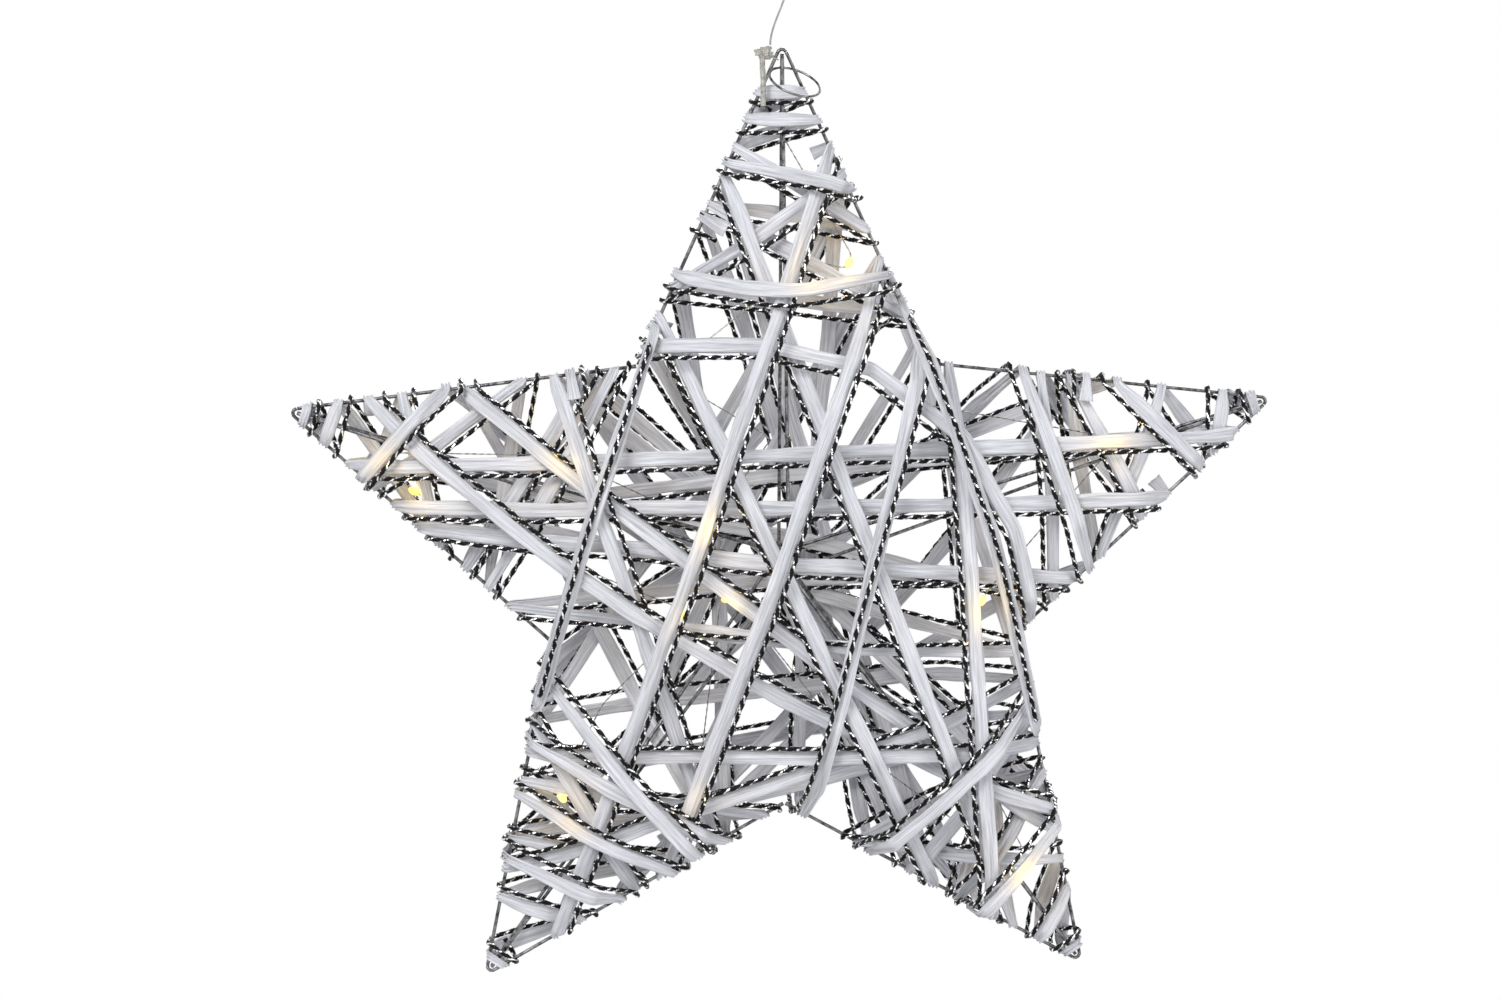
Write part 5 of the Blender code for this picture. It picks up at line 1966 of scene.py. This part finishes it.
@dataclass(frozen=True)
class Softbox:
    """A square soft lamp at an offset from the star's middle."""

    name: str
    offset: Triple
    energy: float
    size: float = 0.9

    def build(self, target: Vector) -> None:
        """Makes the lamp.

        Args:
            target: the star's middle, which the lamp looks at.
        """
        light = bpy.data.lights.new(self.name, "AREA")
        light.size = self.size
        light.energy = self.energy
        lamp = bpy.data.objects.new(self.name, light)
        place = target + Vector(self.offset)
        lamp.location = place
        lamp.rotation_euler = (target - place).to_track_quat("-Z", "Y").to_euler()
        bpy.context.scene.collection.objects.link(lamp)


WHITE = (1.0, 1.0, 1.0, 1.0)


@dataclass
class Studio:
    """White surroundings, soft lamps and the camera of the photograph."""

    plan: StarPlan
    distance: float = 1.55
    elevation: float = math.radians(9.0)
    azimuth: float = math.radians(-4.5)
    aim_offset: tuple[float, float] = (-0.0139, 0.0256)
    roll: float = math.radians(0.35)
    pixels_per_metre: float = 2456.0
    image_width: float = 1500.0
    sensor: float = 36.0
    ambient: float = 0.28
    floor_height: float = -1.25
    floor_size: float = 4.0
    floor_tone: float = 0.9
    floor_roughness: float = 0.9
    softboxes: tuple[Softbox, ...] = (
        Softbox("key", (-0.8, -1.4, 1.1), 24.0),
        Softbox("fill", (1.2, -1.1, 0.1), 8.0),
        Softbox("back", (0.5, 1.5, 0.7), 16.0),
    )

    def build(self) -> None:
        """Makes the camera, the world, the floor and the lamps."""
        self.camera()
        self.world()
        self.floor()
        for softbox in self.softboxes:
            softbox.build(self.plan.world(flat(0, 0)))

    def camera(self) -> None:
        """Puts the camera at the photograph's angle."""
        centre = self.plan.world(flat(0, 0))
        back = Vector(
            (
                math.sin(self.azimuth) * math.cos(self.elevation),
                -math.cos(self.azimuth) * math.cos(self.elevation),
                math.sin(self.elevation),
            )
        )
        target = centre + Vector((self.aim_offset[0], 0.0, self.aim_offset[1]))
        camera = bpy.data.cameras.new("camera")
        camera.sensor_width = self.sensor
        camera.lens = self.pixels_per_metre * self.distance * self.sensor / self.image_width
        camera.dof.use_dof = False
        holder = bpy.data.objects.new("camera", camera)
        holder.location = centre + back * self.distance
        gaze = (target - holder.location).to_track_quat("-Z", "Y")
        holder.rotation_euler = (gaze @ Quaternion((0.0, 0.0, 1.0), self.roll)).to_euler()
        bpy.context.scene.collection.objects.link(holder)
        bpy.context.scene.camera = holder
        bpy.context.scene.view_settings.view_transform = "Standard"

    def world(self) -> None:
        """Makes a white world for the eye, and a softer one for the light on the star."""
        world = bpy.data.worlds.new("studio")
        bpy.context.scene.world = world
        world.use_nodes = True
        world.node_tree.nodes.clear()
        sheet = NodeSheet(world.node_tree)
        strength = sheet.remap(sheet.eye_mask(), (0.0, 1.0), (self.ambient, 1.0))
        shine = sheet.add("ShaderNodeBackground", Color=WHITE, Strength=strength)
        sheet.add("ShaderNodeOutputWorld", Surface=shine.outputs[0])

    def floor(self) -> None:
        """Makes a white floor far below, which the eye can't tell from the surroundings."""
        bm = bmesh.new()
        bmesh.ops.create_grid(bm, x_segments=1, y_segments=1, size=self.floor_size)
        bmesh.ops.translate(bm, vec=(0.0, 0.0, self.floor_height), verts=bm.verts)
        floor = finished_mesh("floor", bm)
        made, sheet, shader = Finish("floor", roughness=self.floor_roughness).start()
        sheet.feed(shader, "Base_Color", (*[self.floor_tone] * 3, 1.0))
        white = sheet.add("ShaderNodeEmission", Color=WHITE, Strength=1.0)
        seen = sheet.eye_mask()
        mixed = sheet.add("ShaderNodeMixShader", i0=seen, i1=shader.outputs[0], i2=white.outputs[0])
        sheet.feed(made.node_tree.nodes["Material Output"], "Surface", mixed.outputs[0])
        floor.data.materials.append(made)


# The seed of the first winding's strand, and how much further each next one's is.
RIBBON_SEEDS = (1.3, 2.9)
CORD_SEEDS = (0.7, 1.7)


def main() -> None:
    """Builds every sub-assembly in order."""
    logging.basicConfig(level=logging.INFO, format="%(name)s %(message)s")
    plan, rule = StarPlan(), WindingRule()
    Studio(plan).build()
    winder = Winder(plan, rule)
    start = Hanger(plan, winder.faces[0]).build()
    WireFrame(plan).build()
    for number, (ribbon, cord) in enumerate(winder.strands.values()):
        PaperRibbon(ribbon, RIBBON_SEEDS[0] + number * RIBBON_SEEDS[1]).build()
        SilverCord(cord, CORD_SEEDS[0] + number * CORD_SEEDS[1]).build()
    SlackRing(plan).build()
    FairyLights(plan, start, winder.faces[0]).build()
    BatteryBox().build()


if __name__ == "__main__":
    main()
